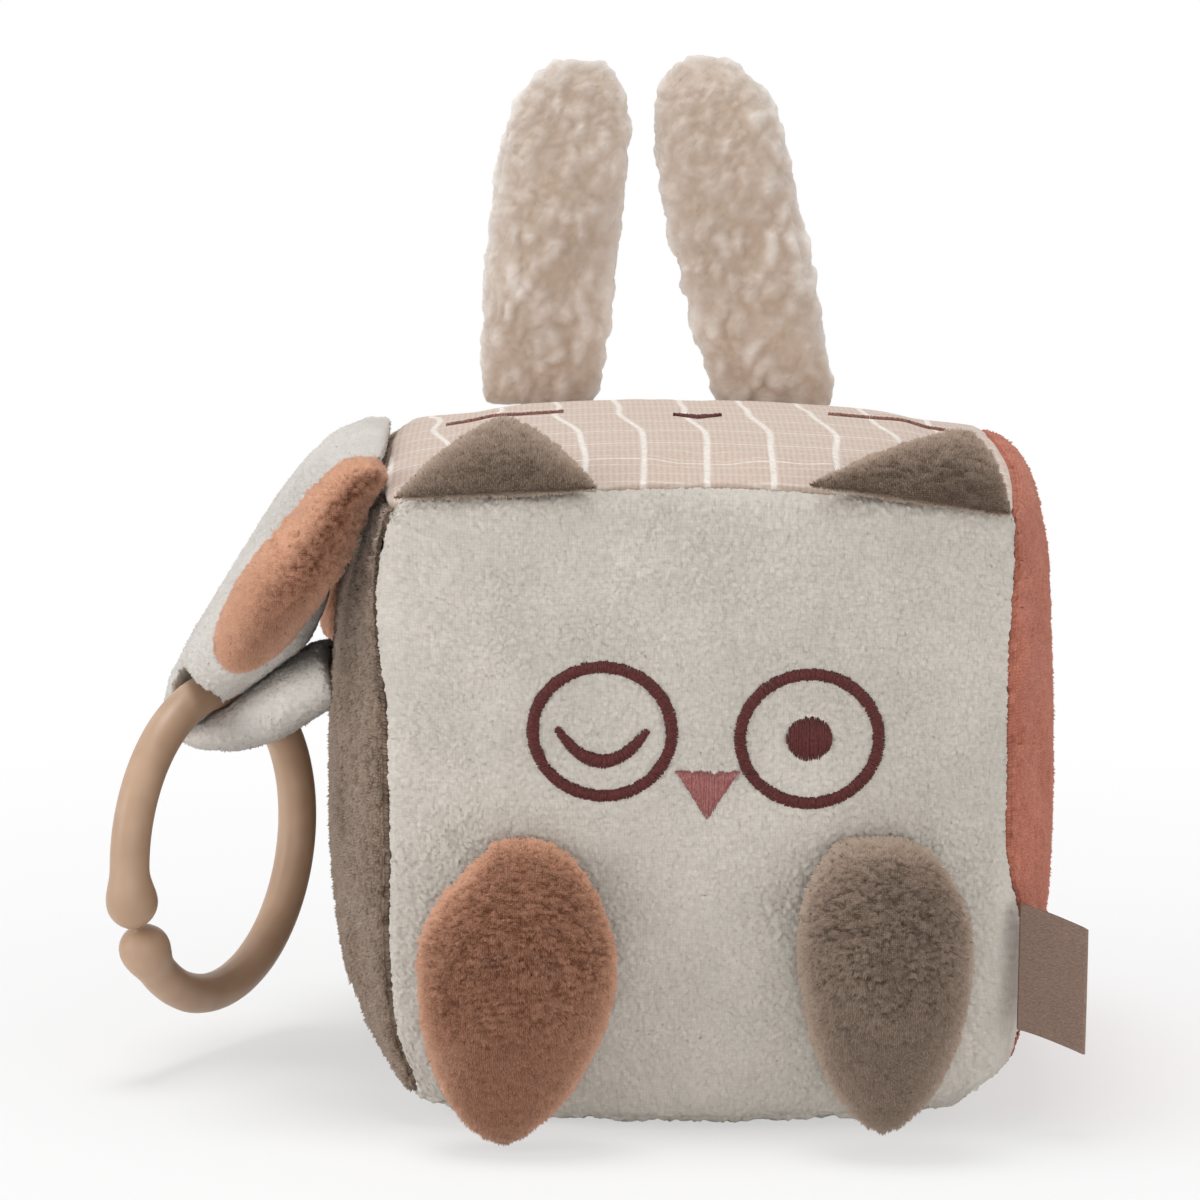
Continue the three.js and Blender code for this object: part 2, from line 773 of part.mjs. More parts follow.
// Places along each bulb, as shares of its radius
const bulbStationShares = [0.06, 0.3, 0.7, 1.2, 1.7, 2.2];

function ringGeometry() {
  const bulbRadius = ringBulb / 2;
  const splitAngle = THREE.MathUtils.degToRad(ringSplitAngle);
  const halfSplit = ringSplit / 2 / ringRadius;
  const sweep = 2 * Math.PI - 2 * halfSplit;
  const sides = 10;
  const bulbSteps = bulbStationShares.map((share) => share * bulbRadius);
  const bulbEnd = bulbRadius + ringBulbReach;
  const plainSteps = 26;
  const length = sweep * ringRadius;
  const places = [...bulbSteps, bulbEnd];
  for (let step = 1; step < plainSteps; step++) {
    places.push(bulbEnd + ((length - 2 * bulbEnd) * step) / plainSteps);
  }
  places.push(length - bulbEnd, ...bulbSteps.map((place) => length - place).reverse());
  const points = [];
  for (const place of places) {
    const fromEnd = Math.min(place, length - place);
    const cap = Math.sqrt(Math.max(bulbRadius ** 2 - (bulbRadius - fromEnd) ** 2, 0));
    const past = Math.min(Math.max((fromEnd - bulbRadius) / ringBulbReach, 0), 1);
    const waist = bulbRadius + (ringWire / 2 - bulbRadius) * past * past * (3 - 2 * past);
    const radius = fromEnd < bulbRadius ? cap : waist;
    const angle = splitAngle + halfSplit + place / ringRadius;
    for (let side = 0; side < sides; side++) {
      const turn = (2 * Math.PI * side) / sides;
      points.push(ringPoint(angle, radius * Math.cos(turn), radius * Math.sin(turn)));
    }
  }
  const triangles = gridTriangles(places.length, sides, 0, true);
  triangles.push(...fanTriangles(sides, 0));
  const last = points.length - sides;
  for (const [i, j, k] of fanTriangles(sides, last)) triangles.push([i, k, j]);
  return closedGeometry(points, triangles);
}
addPiece('teething_ring', ringGeometry(), caramel, plasticRoughness);

// The hole that the ring passes through: a thicker ring, set a little higher, so that the
// ring hangs on the lower layer of the flap
function eyeletSolid() {
  const sides = 12;
  const steps = 48;
  const tube = (ringWire / 2 + eyeletClearance) / Math.cos(Math.PI / sides);
  const eyelet = new THREE.TorusGeometry(ringRadius, tube, sides, steps);
  const frame = new THREE.Matrix4().makeBasis(ringSideways, upwards, ringNormal);
  eyelet.applyMatrix4(frame);
  const raise = eyeletClearance - seatClearance;
  eyelet.translate(ringCentre.x, ringCentre.y, ringCentre.z + raise);
  return solidOf(eyelet);
}

// The flap: two padded layers with a slot between them. Each station gives the outer and
// the inner edge of the flap's side view as shares of its reach and drop, and its half depth
// as a share of the flap's half depth.

const flapTop = centreHeight + halfSeam + flapRootThickness + clearance;
const flapSeam = -halfSeam - clearance;

const coverStationShares = [
  { outer: [0.005, 0], inner: [0.01, 0.041], depth: 1 },
  { outer: [0.11, -0.011], inner: [0.07, 0.095], depth: 1 },
  { outer: [0.255, 0.027], inner: [0.13, 0.176], depth: 0.98 },
  { outer: [0.375, 0.104], inner: [0.175, 0.271], depth: 0.96 },
  { outer: [0.5, 0.226], inner: [0.225, 0.402], depth: 0.92 },
  { outer: [0.68, 0.433], inner: [0.285, 0.555], depth: 0.84 },
  { outer: [0.8, 0.573], inner: [0.347, 0.652], depth: 0.74 },
  { outer: [0.9, 0.699], inner: [0.522, 0.747], depth: 0.62 },
  { outer: [0.97, 0.799], inner: [0.687, 0.837], depth: 0.46 },
  { outer: [1, 0.893], inner: [0.85, 0.92], depth: 0.32 },
];
const liningStationShares = [
  { outer: [0.97, 0.938], inner: [0.94, 0.966], depth: 0.2 },
  { outer: [0.843, 0.927], inner: [0.82, 0.997], depth: 0.34 },
  { outer: [0.698, 0.847], inner: [0.65, 1], depth: 0.52 },
  { outer: [0.533, 0.759], inner: [0.46, 0.956], depth: 0.75 },
  { outer: [0.33, 0.663], inner: [0.25, 0.821], depth: 1 },
];

function flapPoint([reachShare, dropShare], depth) {
  return new THREE.Vector3(flapSeam - reachShare * flapReach, depth, flapTop - dropShare * flapDrop);
}

// A padded layer with rounded edges
function layerSolid(stations, halfDepth) {
  const sides = 16;
  const squareness = 2.6;
  const soften = (value) => Math.sign(value) * Math.abs(value) ** (2 / squareness);
  const points = [];
  for (const station of stations) {
    const outer = flapPoint(station.outer, 0);
    const inner = flapPoint(station.inner, 0);
    const middle = outer.clone().add(inner).divideScalar(2);
    const half = outer.clone().sub(middle);
    for (let side = 0; side < sides; side++) {
      const angle = (2 * Math.PI * side) / sides;
      const point = middle.clone().addScaledVector(half, soften(Math.sin(angle)));
      point.y += halfDepth * station.depth * soften(Math.cos(angle));
      points.push(point);
    }
  }
  const triangles = gridTriangles(stations.length, sides, 0, true);
  triangles.push(...fanTriangles(sides, 0));
  const last = points.length - sides;
  for (const [i, j, k] of fanTriangles(sides, last)) triangles.push([i, k, j]);
  return solidOf(closedGeometry(points, triangles));
}

const eyelet = eyeletSolid();
const coverLayer = layerSolid(coverStationShares, flapHalfDepth).subtract(eyelet);
const liningLayer = layerSolid(liningStationShares, liningHalfDepth).subtract(eyelet);
addPiece('side_flap_cover', geometryOf(coverLayer), cream, plushRoughness);
addPiece('side_flap_lining', geometryOf(liningLayer), cream, plushRoughness);

// Label: a tape folded in two and sewn in at its cut ends, hanging a little askew

const labelStand = 2 * clearance + seamBow / 4; // clear of the bow of the seam

function labelGeometry() {
  const thickness = 2 * labelTapeThickness + labelFoldGap;
  const foldRadius = thickness / 2;
  const straight = labelReach - foldRadius;
  const shape = new THREE.Shape();
  shape.moveTo(0, -foldRadius);
  shape.lineTo(straight, -foldRadius);
  shape.absarc(straight, 0, foldRadius, -Math.PI / 2, Math.PI / 2, false);
  shape.lineTo(0, foldRadius);
  shape.lineTo(0, labelFoldGap / 2);
  shape.lineTo(straight, labelFoldGap / 2);
  shape.absarc(straight, 0, labelFoldGap / 2, Math.PI / 2, -Math.PI / 2, true);
  shape.lineTo(0, -labelFoldGap / 2);
  shape.closePath();
  const settings = { depth: labelLength, bevelEnabled: false, curveSegments: 4 };
  const geometry = new THREE.ExtrudeGeometry(shape, settings);
  const shear = new THREE.Matrix4();
  shear.elements[2] = -labelDroop / labelReach;
  geometry.applyMatrix4(shear);
  const middleUp = labelTopHeight - labelLength / 2 - centreHeight;
  const seam = seamPoint(middleUp, 1);
  return geometry.translate(
    seam.y + labelStand,
    -seam.y - foldRadius - clearance,
    labelTopHeight - labelLength,
  );
}
addPiece('label_tag', geometryOf(solidOf(labelGeometry())), tapeBrown, cottonRoughness);

export default block;
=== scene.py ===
# Looks of the soft fabric block: plush, sherpa, cotton, embroidery, tape and plastic around the CAD.
import math

import bpy
import numpy as np
from mathutils import Matrix, Vector
from numpy.linalg import norm


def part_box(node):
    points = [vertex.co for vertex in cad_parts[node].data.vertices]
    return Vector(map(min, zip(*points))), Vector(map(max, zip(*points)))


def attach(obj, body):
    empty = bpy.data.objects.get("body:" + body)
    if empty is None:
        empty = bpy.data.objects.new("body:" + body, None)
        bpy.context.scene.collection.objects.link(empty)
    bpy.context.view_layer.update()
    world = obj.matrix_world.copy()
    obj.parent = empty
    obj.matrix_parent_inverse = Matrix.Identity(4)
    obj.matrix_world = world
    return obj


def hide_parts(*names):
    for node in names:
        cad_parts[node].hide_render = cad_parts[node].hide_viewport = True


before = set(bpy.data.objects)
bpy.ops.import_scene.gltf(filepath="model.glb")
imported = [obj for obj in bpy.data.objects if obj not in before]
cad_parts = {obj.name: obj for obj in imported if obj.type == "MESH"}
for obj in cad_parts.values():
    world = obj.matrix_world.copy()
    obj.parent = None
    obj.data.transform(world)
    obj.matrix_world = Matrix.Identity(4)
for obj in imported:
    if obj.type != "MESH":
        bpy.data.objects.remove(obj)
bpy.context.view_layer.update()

scene = bpy.context.scene

# Lengths here are in millimetres, and become metres where a mesh is made.
MM = 0.001

# The cube
HALF_SIZE = 67.0  # from its middle to a sewn corner
SEAM_BOW = 3.3
CROWNS = ((12.3, 12.3), (8.0, 8.0), (3.0, 8.0))  # of the two faces across x, y and z, lower first
CROWN_POWER = 0.6
PINCH_SHARE = 0.025
PINCH_POWER = 4
CENTRE_HEIGHT = 72.8
HALF_SEAM = HALF_SIZE + SEAM_BOW
ROUNDING = 0.035  # how far around a place its neighbours are averaged, as a share of HALF_SIZE
SEAM_ROLL = 2.6  # how wide each panel's edge rolls in to its seam
SEAM_DEPTH = 0.8
SEAM_TUCK = 1.9

# The owl's and the rabbit's faces: places across and above the middle of their panel
EYES = {"left": (-21.5, 18.2), "right": (23.5, 17.2)}
EYE_WIDTH, EYE_HEIGHT = 33.0, 31.0
THREAD_STROKE = 2.8
THREAD_WIDTH = 0.46
THREAD_PITCH = 0.29
PUPIL_DIAMETER = 10.0
WINK_WIDTH, WINK_DROP, WINK_RISE = 20.0, 7.2, 0.7
BEAK_WIDTH, BEAK_HEIGHT = 14.0, 11.0
BEAK_ACROSS, BEAK_TOP = 1.5, 10.0
RABBIT_EYE_SPACING, RABBIT_EYE_DEPTH = 88.0, 8.0
RABBIT_EYE_WIDTH, RABBIT_EYE_DROP, RABBIT_STROKE = 27.0, 1.5, 0.5
NOSE_WIDTH, NOSE_HEIGHT = 11.0, 6.0

# The ring
RING_OUTER, RING_WIRE, RING_BULB, RING_BULB_REACH = 80.0, 9.0, 11.8, 8.0
RING_SPLIT, RING_SPLIT_ANGLE, RING_TURN = 1.2, 204.0, 60.5
RING_CENTRE = (-109.8, -3.0, 50.6)


def srgb(red, green, blue):
    """A colour as it is seen, from 0 to 255, as Blender's linear colour."""
    shares = [value / 255 for value in (red, green, blue)]
    linear = [s / 12.92 if s <= 0.04045 else ((s + 0.055) / 1.055) ** 2.4 for s in shares]
    return (*linear, 1.0)


# Seeded noise in space

def hashed(cells, seed):
    """A value from 0 to 1 for each whole-numbered cell."""
    mixed = cells[..., 0] * 73856093 ^ cells[..., 1] * 19349663 ^ cells[..., 2] * 83492791
    mixed = mixed ^ (seed * 26544357 + 12345)
    for shift, factor in ((13, 1274126177), (15, 668265263), (11, 374761393)):
        mixed = ((mixed ^ (mixed >> shift)) * factor) & 0x7FFFFFFF
    return (mixed & 0xFFFFF) / float(0xFFFFF)


def cloud(points, size, seed):
    """Smooth noise from -1 to 1 with features of this size."""
    place = points / size
    cell = np.floor(place).astype(np.int64)
    part = place - cell
    part = part * part * (3 - 2 * part)
    total = np.zeros(points.shape[:-1])
    for corner in np.ndindex(2, 2, 2):
        share = np.prod(np.where(corner, part, 1 - part), axis=-1)
        total += share * hashed(cell + corner, seed)
    return 2 * total - 1


def beads(points, size, seed):
    """0 to 1: soft round lumps at scattered centres with this spacing."""
    place = points / size
    cell = np.floor(place).astype(np.int64)
    total = np.zeros(points.shape[:-1])
    for step in np.ndindex(3, 3, 3):
        other = cell + step - 1
        centre = other + np.stack([hashed(other, seed + axis) for axis in range(3)], -1)
        total += np.exp(-6.0 * ((place - centre) ** 2).sum(-1))
    return 1 - np.exp(-1.6 * total)


def cloud_push(points, size, seed):
    """Three smooth noises, as a push in each direction."""
    return np.stack([cloud(points, size, seed + axis) for axis in range(3)], -1)


def ramp(value, low, high):
    """0 below low, 1 above high, and smooth between them."""
    share = np.clip((value - low) / (high - low), 0, 1)
    return share * share * (3 - 2 * share)


# Grids and meshes

def at_lengths(place, run, line):
    """The points of a line at these lengths along it."""
    return np.stack([np.interp(place, run, line[:, axis]) for axis in range(line.shape[1])], -1)


def refined(grid, count, axis):
    """The grid with this many places along one axis, on smooth curves through its points."""
    rows = np.moveaxis(grid, axis, 0)
    span = len(rows) - 1
    around = np.concatenate([2 * rows[:1] - rows[1:2], rows, 2 * rows[-1:] - rows[-2:-1]])
    place = np.linspace(0, span, count)
    cell = np.minimum(place.astype(int), span - 1)
    part = (place - cell)[:, None, None]
    a, b, c, d = (around[cell + step] for step in range(4))
    curve = b + 0.5 * part * (c - a + part * (2 * a - 5 * b + 4 * c - d + part * (3 * (b - c) + d - a)))
    return np.moveaxis(curve, 0, axis)


def square(count):
    """u and v, from -1 to 1, at the points of a square grid."""
    share = np.linspace(-1, 1, count)
    v, u = np.meshgrid(share, share, indexing="ij")
    return u, v


def grid_uv(rows, columns):
    """The place in its map of each point of a grid."""
    v, u = np.meshgrid(*(np.linspace(0.01, 0.99, count) for count in (rows, columns)), indexing="ij")
    return np.stack([u, v], -1).reshape(-1, 2)


def grid_quads(rows, columns, wrap=False):
    """The quads of a grid of points, whose last column can join its first."""
    column = np.arange(columns if wrap else columns - 1)
    r, c = (part.ravel() for part in np.meshgrid(np.arange(rows - 1) * columns, column, indexing="ij"))
    after = (c + 1) % columns
    return np.stack([r + c, r + after, r + columns + after, r + columns + c], -1)


def full_turn(count):
    return np.linspace(0, 2 * math.pi, count, endpoint=False)


def halved(quads):
    """Two triangles for each quad."""
    return np.concatenate([quads[:, [0, 1, 2]], quads[:, [0, 2, 3]]])


def unit(vectors):
    return vectors / np.maximum(norm(vectors, axis=-1, keepdims=True), 1e-12)


def vertex_normals(points, faces):
    """Unit normals at the points, from faces that all have the same number of corners."""
    corners = points[faces]
    flat = np.cross(corners[:, 2] - corners[:, 0], corners[:, -1] - corners[:, 1])
    normals = np.zeros_like(points)
    for corner in range(faces.shape[1]):
        np.add.at(normals, faces[:, corner], flat)
    return unit(normals)


def new_object(name, points, faces, uv=None, pile=None):
    """A smooth-shaded object from points in millimetres and faces of one size, with its own map."""
    mesh = bpy.data.meshes.new(name)
    size = faces.shape[1]
    mesh.vertices.add(len(points))
    mesh.vertices.foreach_set("co", (points * MM).astype(np.float32).ravel())
    mesh.loops.add(faces.size)
    mesh.loops.foreach_set("vertex_index", faces.astype(np.int32).ravel())
    mesh.polygons.add(len(faces))
    mesh.polygons.foreach_set("loop_start", np.arange(0, faces.size, size, dtype=np.int32))
    if uv is not None:
        layer = mesh.uv_layers.new(name="OFBake")
        layer.data.foreach_set("uv", uv.astype(np.float32).ravel())
    if pile is not None:
        attribute = mesh.attributes.new("pile", "FLOAT", "POINT")
        attribute.data.foreach_set("value", pile.astype(np.float32))
    mesh.update()
    mesh.shade_smooth()
    made = bpy.data.objects.new(name, mesh)
    scene.collection.objects.link(made)
    return made


def evaluated(made):
    """The points and faces of an object with its modifiers. The object is removed."""
    bpy.context.view_layer.update()
    result = made.evaluated_get(bpy.context.evaluated_depsgraph_get())
    mesh = result.to_mesh()
    points = np.empty(len(mesh.vertices) * 3, np.float32)
    mesh.vertices.foreach_get("co", points)
    corners = np.empty(len(mesh.loops), np.int32)
    mesh.loops.foreach_get("vertex_index", corners)
    size = len(mesh.loops) // len(mesh.polygons)
    result.to_mesh_clear()
    bpy.data.objects.remove(made)
    return points.reshape(-1, 3).astype(float) / MM, corners.reshape(-1, size)


def remeshed(points, faces, cell, smoothing):
    """The same solid in even quads."""
    made = new_object("scratch", points, faces)
    remesh = made.modifiers.new("Remesh", "REMESH")
    remesh.mode = "VOXEL"
    remesh.voxel_size = cell * MM
    smooth = made.modifiers.new("Smooth", "SMOOTH")
    smooth.iterations = smoothing
    smooth.factor = 0.5
    return evaluated(made)


def subdivided(points, faces, levels):
    made = new_object("scratch", points, faces)
    subdivision = made.modifiers.new("Subdivision", "SUBSURF")
    subdivision.levels = subdivision.render_levels = levels
    return evaluated(made)


PUFF_FRAMES = 20
SEAM_SHRINK = 0.1  # how much the seams draw in


def puffed(points, faces, pressure, reach, held=None, shrunk=None):
    """The points after the mesh is blown up as cloth. None moves further than reach, and held ones stay."""
    made = new_object("scratch", points, faces)
    cloth = made.modifiers.new("Puff", "CLOTH")
    settings = cloth.settings
    settings.quality = 8
    settings.mass = 0.02
    settings.tension_stiffness = settings.compression_stiffness = 8
    settings.bending_stiffness = 0.2
    settings.use_pressure = True
    settings.uniform_pressure_force = pressure
    settings.effector_weights.gravity = 0
    cloth.collision_settings.use_collision = False
    for chosen, use in ((held, "mass"), (shrunk, "shrink")):
        if chosen is not None:
            group = made.vertex_groups.new(name=use)
            group.add([int(place) for place in np.flatnonzero(chosen)], 1.0, "ADD")
            setattr(settings, "vertex_group_" + use, group.name)
    if shrunk is not None:
        settings.shrink_min, settings.shrink_max = 0, SEAM_SHRINK
    scene.frame_start, scene.frame_end = 1, PUFF_FRAMES
    for step in range(1, PUFF_FRAMES + 1):
        scene.frame_set(step)
    blown, _ = evaluated(made)
    scene.frame_set(1)
    moved = blown - points
    length = norm(moved, axis=1, keepdims=True)
    return points + moved * np.minimum(1, reach / np.maximum(length, 1e-9))


# Pile: a dense surface whose every quad is drawn up to a leaning tuft

SWIRL_SIZE = 11.0
ROOT_SCATTER = 0.42  # how far the roots are moved about, as a share of their spacing
SHORTEST_TUFT = 0.35  # as a share of the pile's length
TIP_SCATTER, TIP_LEAN = 0.4, 0.6
PRESSED_FLAT = 0.92


def painted_rim_sheen(normals, axis):
    """How much painted sheen a place gets: 0 on the broad sides of a flat limb and 1 on its rim."""
    return (1 - (normals @ unit(axis)) ** 2) ** 1.2


def tufted(points, quads, length, lean, seed, pressed=None, clump=(2.6, 2.6, 2.6), gaps=0.0, wear_and_rim_sheen=None,
           relief=0.22, tone=0.0):
    """Points, triangles and the pile's tone at each point.

    pressed is 0 to 1 at each point, 1 for flat. The axis through a flat limb gives it a painted sheen: its
    rim is painted paler and its broad sides darker, and its lower part is smoother. relief is the height of
    the clumps as a share of the pile's length, and tone makes all of it paler or darker.
    """
    random = np.random.default_rng(seed)
    normals = vertex_normals(points, quads)
    swirl = cloud_push(points, SWIRL_SIZE, seed)
    wavy = (points + 0.9 * swirl) / clump
    clumps = cloud(wavy, 1.0, seed + 5)
    fine = cloud(points, 1.1, seed + 6)
    parted = gaps * (1 - ramp(abs(cloud(wavy, 1.0, seed + 7)), 0.0, 0.22))
    if wear_and_rim_sheen is not None:
        low, high = points[:, 2].min(), points[:, 2].max()
        upper = ramp(points[:, 2], low + 0.25 * (high - low), low + 0.6 * (high - low))
        stirred = 0.35 + 0.65 * upper
        clumps, parted = clumps * stirred, parted * stirred
    ground = points + normals * (length * (relief * clumps + 0.16 * fine - 0.45 - 0.5 * parted))[:, None]
    spacing = norm(points[quads[:, 0]] - points[quads[:, 1]], axis=1).mean()
    ground += random.uniform(-ROOT_SCATTER, ROOT_SCATTER, points.shape) * spacing
    count = len(quads)

    def at_tufts(field):
        return field[quads].mean(1)

    normal, lumpy, gap = at_tufts(normals), at_tufts(clumps), at_tufts(parted)
    height = length * (SHORTEST_TUFT + (1 - SHORTEST_TUFT) * random.random(count) ** 1.6)
    height = height * (1 + 0.25 * lumpy) * (1 - 0.4 * gap)
    if pressed is not None:
        height *= 1 - PRESSED_FLAT * at_tufts(pressed)
        ground -= normals * (0.35 * length * pressed)[:, None]
    direction = lean + 0.8 * at_tufts(swirl)
    direction = direction + random.uniform(-TIP_SCATTER, TIP_SCATTER, (count, 3))
    direction -= normal * np.sum(direction * normal, 1, keepdims=True)
    tips = at_tufts(ground) + (normal + TIP_LEAN * direction) * height[:, None]
    top = len(points) + np.arange(count)
    triangles = np.concatenate([np.stack([quads[:, k], quads[:, (k + 1) % 4], top], -1) for k in range(4)])
    # Painted shade: the roots, and the gaps where the pile parts, are painted darker than the tips.
    root_tone = tone + 0.3 + 0.2 * clumps - 0.3 * parted
    tip_tone = tone + 0.7 + 0.3 * random.random(count) + 0.1 * lumpy - 0.45 * gap
    # Painted sheen: the pile is painted paler on the limb's rim and darker on its broad sides.
    if wear_and_rim_sheen is not None:
        rim = painted_rim_sheen(normals, wear_and_rim_sheen)
        root_tone += 0.65 * rim - 0.18
        tip_tone += 0.8 * at_tufts(rim) - 0.4
    pile = np.clip(np.concatenate([root_tone, tip_tone]), 0, 1)
    return np.concatenate([ground, tips]), triangles, pile


def two_sided_map(points, triangles, across, up, through):
    """A map for a closed piece: what faces one way in its left half, what faces the other in its right."""
    corners = points[triangles]
    facing = np.cross(corners[:, 1] - corners[:, 0], corners[:, 2] - corners[:, 0]) @ through
    flat = np.stack([points @ across, points @ up], -1)
    low, high = flat.min(0), flat.max(0)
    share = (flat - low) / (high - low).max()
    uv = share[triangles] * 0.48 + 0.01
    uv[..., 0] += np.where(facing > 0, 0.5, 0.0)[:, None]
    return uv


# Materials

def new_material(name, roughness, sheen=0.0, specular=0.3):
    material = bpy.data.materials.new(name)
    material.use_nodes = True
    shader = material.node_tree.nodes["Principled BSDF"]
    shader.inputs["Roughness"].default_value = roughness
    shader.inputs["Sheen Weight"].default_value = sheen
    shader.inputs["Sheen Roughness"].default_value = 0.5
    shader.inputs["Specular IOR Level"].default_value = specular
    return material, material.node_tree, shader


def add_node(tree, kind, inputs=None, **settings):
    """A new shader node, with these values or links at its inputs."""
    node = tree.nodes.new("ShaderNode" + kind)
    for name, value in settings.items():
        setattr(node, name, value)
    for name, value in (inputs or {}).items():
        if isinstance(value, bpy.types.NodeSocket):
            tree.links.new(value, node.inputs[name])
        else:
            node.inputs[name].default_value = value
    return node


def math_node(tree, operation, *values):
    return add_node(tree, "Math", dict(enumerate(values)), operation=operation).outputs[0]


def noise_at(tree, size, detail=2.0, stretch=(1, 1, 1)):
    """A noise from about 0.3 to 0.7 whose features are this many millimetres across."""
    place = add_node(tree, "TexCoord")
    mapping = add_node(tree, "Mapping", {"Vector": place.outputs["Object"], "Scale": stretch})
    scale = 1 / (size * MM)
    noise = add_node(tree, "TexNoise", {"Vector": mapping.outputs[0], "Scale": scale, "Detail": detail})
    return noise.outputs["Fac"]


def mixed(tree, factor, first, second, blend="MIX"):
    mix = add_node(tree, "Mix", data_type="RGBA", blend_type=blend)
    for place, value in ((0, factor), (6, first), (7, second)):
        if isinstance(value, bpy.types.NodeSocket):
            tree.links.new(value, mix.inputs[place])
        else:
            mix.inputs[place].default_value = value
    return mix.outputs[2]


def stretched_share(tree, value, low, high, first=0.0, last=1.0):
    node = add_node(tree, "MapRange", {"Value": value, "From Min": low, "From Max": high,
                    "To Min": first, "To Max": last})
    return node.outputs["Result"]


def add_bump(tree, shader, height, strength, distance):
    bump = add_node(tree, "Bump", {"Height": height, "Strength": strength, "Distance": distance * MM})
    tree.links.new(bump.outputs["Normal"], shader.inputs["Normal"])


def pile_material(name, root, tip, sheen=0.3):
    """Plush or sherpa: painted darker at the root of its pile than at the tips, as painted shade deep in the
    pile, and unevenly brushed.
    """
    material, tree, shader = new_material(name, 0.9, sheen, 0.12)
    shader.inputs["Sheen Tint"].default_value = [*(0.2 + 0.8 * value for value in tip[:3]), 1]
    height = add_node(tree, "Attribute", attribute_name="pile").outputs["Fac"]
    colour = mixed(tree, height, root, tip)
    for size, detail, low, high, darkest, palest in (
            (24.0, 3.0, 0.36, 0.66, 0.93, 1.04), (1.6, 2.0, 0.3, 0.75, 0.94, 1.0)):
        share = stretched_share(tree, noise_at(tree, size, detail), low, high)
        shade = mixed(tree, share, (*[darkest] * 3, 1), (*[palest] * 3, 1))
        colour = mixed(tree, 1.0, colour, shade, "MULTIPLY")
    tree.links.new(colour, shader.inputs["Base Color"])
    return material


# Each pile's first colour is its root, darkened as painted shade deep in the pile, and its second is its
# tips.
PLUSH_CREAM = pile_material("plush_cream", srgb(204, 197, 187), srgb(226, 219, 209), 0.2)
PLUSH_WHITE = pile_material("plush_white", srgb(214, 208, 200), srgb(237, 232, 226), 0.2)
PLUSH_TAUPE = pile_material("plush_taupe", srgb(84, 67, 54), srgb(200, 177, 158), 0.6)
PLUSH_TERRACOTTA = pile_material("plush_terracotta", srgb(112, 68, 48), srgb(240, 184, 152), 0.7)
PLUSH_CORAL = pile_material("plush_coral", srgb(158, 86, 68), srgb(230, 156, 134), 0.3)
SHERPA = pile_material("sherpa_cream", srgb(192, 171, 153), srgb(243, 237, 231), 0.8)


COTTON_LINES = (
    # along, pitch, offset, width and strength of each set of lines
    ("X", 14.3, 0.56, 1.3, 1.0), ("Y", 14.3, 0.0, 0.6, 0.8), ("Y", 4.9, 0.3, 0.4, 0.4))
LINE_WANDER = 5.0
LINE_SKEW = 4.6  # how far the lines swing aside towards the front


def cotton_material():
    """Ribbed blush cotton with a fine off-white grid that the weaving leaves a little wavy."""
    material, tree, shader = new_material("cotton_blush", 0.92, 0.1, 0.2)
    place = add_node(tree, "TexCoord").outputs["Object"]
    wave = add_node(tree, "TexNoise", {"Vector": place, "Scale": 30.0, "Detail": 0.0})
    wander = (LINE_WANDER * MM, LINE_WANDER * MM, 0)
    shifted = add_node(tree, "VectorMath", {0: wave.outputs["Color"], 1: wander, 2: place},
                       operation="MULTIPLY_ADD")
    split = add_node(tree, "SeparateXYZ", {"Vector": shifted.outputs[0]})
    skew = add_node(tree, "MapRange", {
        "Value": split.outputs["Y"], "From Min": 10 * MM, "From Max": -25 * MM, "To Min": 0.0,
        "To Max": -LINE_SKEW * MM}, interpolation_type="SMOOTHSTEP")
    ways = {"X": math_node(tree, "ADD", split.outputs["X"], skew.outputs["Result"]), "Y": split.outputs["Y"]}
    lines = None
    for way, pitch, offset, width, strength in COTTON_LINES:
        turns = math_node(tree, "MULTIPLY_ADD", ways[way], 1 / (pitch * MM), offset)
        away = math_node(tree, "ABSOLUTE", math_node(tree, "SUBTRACT", math_node(tree, "FRACT", turns), 0.5))
        edge = width / pitch / 2
        line = stretched_share(tree, away, edge * 1.5, edge * 0.6, 0.0, strength)
        lines = line if lines is None else math_node(tree, "MAXIMUM", lines, line)
    ribs = add_node(tree, "TexWave", {"Vector": place, "Scale": 240.0, "Distortion": 1.2, "Detail": 1.0},
                    wave_type="BANDS", bands_direction="X").outputs["Fac"]
    ground = mixed(tree, ribs, srgb(200, 178, 164), srgb(211, 191, 178))
    flecks = stretched_share(tree, noise_at(tree, 0.9, 3.0), 0.35, 0.65)
    ground = mixed(tree, flecks, ground, mixed(tree, 0.3, ground, srgb(232, 218, 206)))
    # The thread is paler in scattered places, as wear.
    wear_and_rim_sheen = stretched_share(tree, noise_at(tree, 1.2), 0.3, 0.6)
    thread = mixed(tree, wear_and_rim_sheen, srgb(226, 214, 203), srgb(246, 240, 232))
    tree.links.new(mixed(tree, lines, ground, thread), shader.inputs["Base Color"])
    add_bump(tree, shader, ribs, 0.2, 0.15)
    return material


def mottled(name, look, dark, light, size, detail, spread=(0.35, 0.65), stretch=(1, 1, 1)):
    """A material that varies between two colours."""
    material, tree, shader = new_material(name, *look)
    share = stretched_share(tree, noise_at(tree, size, detail, stretch), *spread)
    tree.links.new(mixed(tree, share, dark, light), shader.inputs["Base Color"])
    return material, tree, shader


def thread_material(name, dark, light):
    """Satin thread: a low shine along fine strands."""
    return mottled(name, (0.55, 0.05, 0.3), dark, light, 0.5, 3.0)[0]


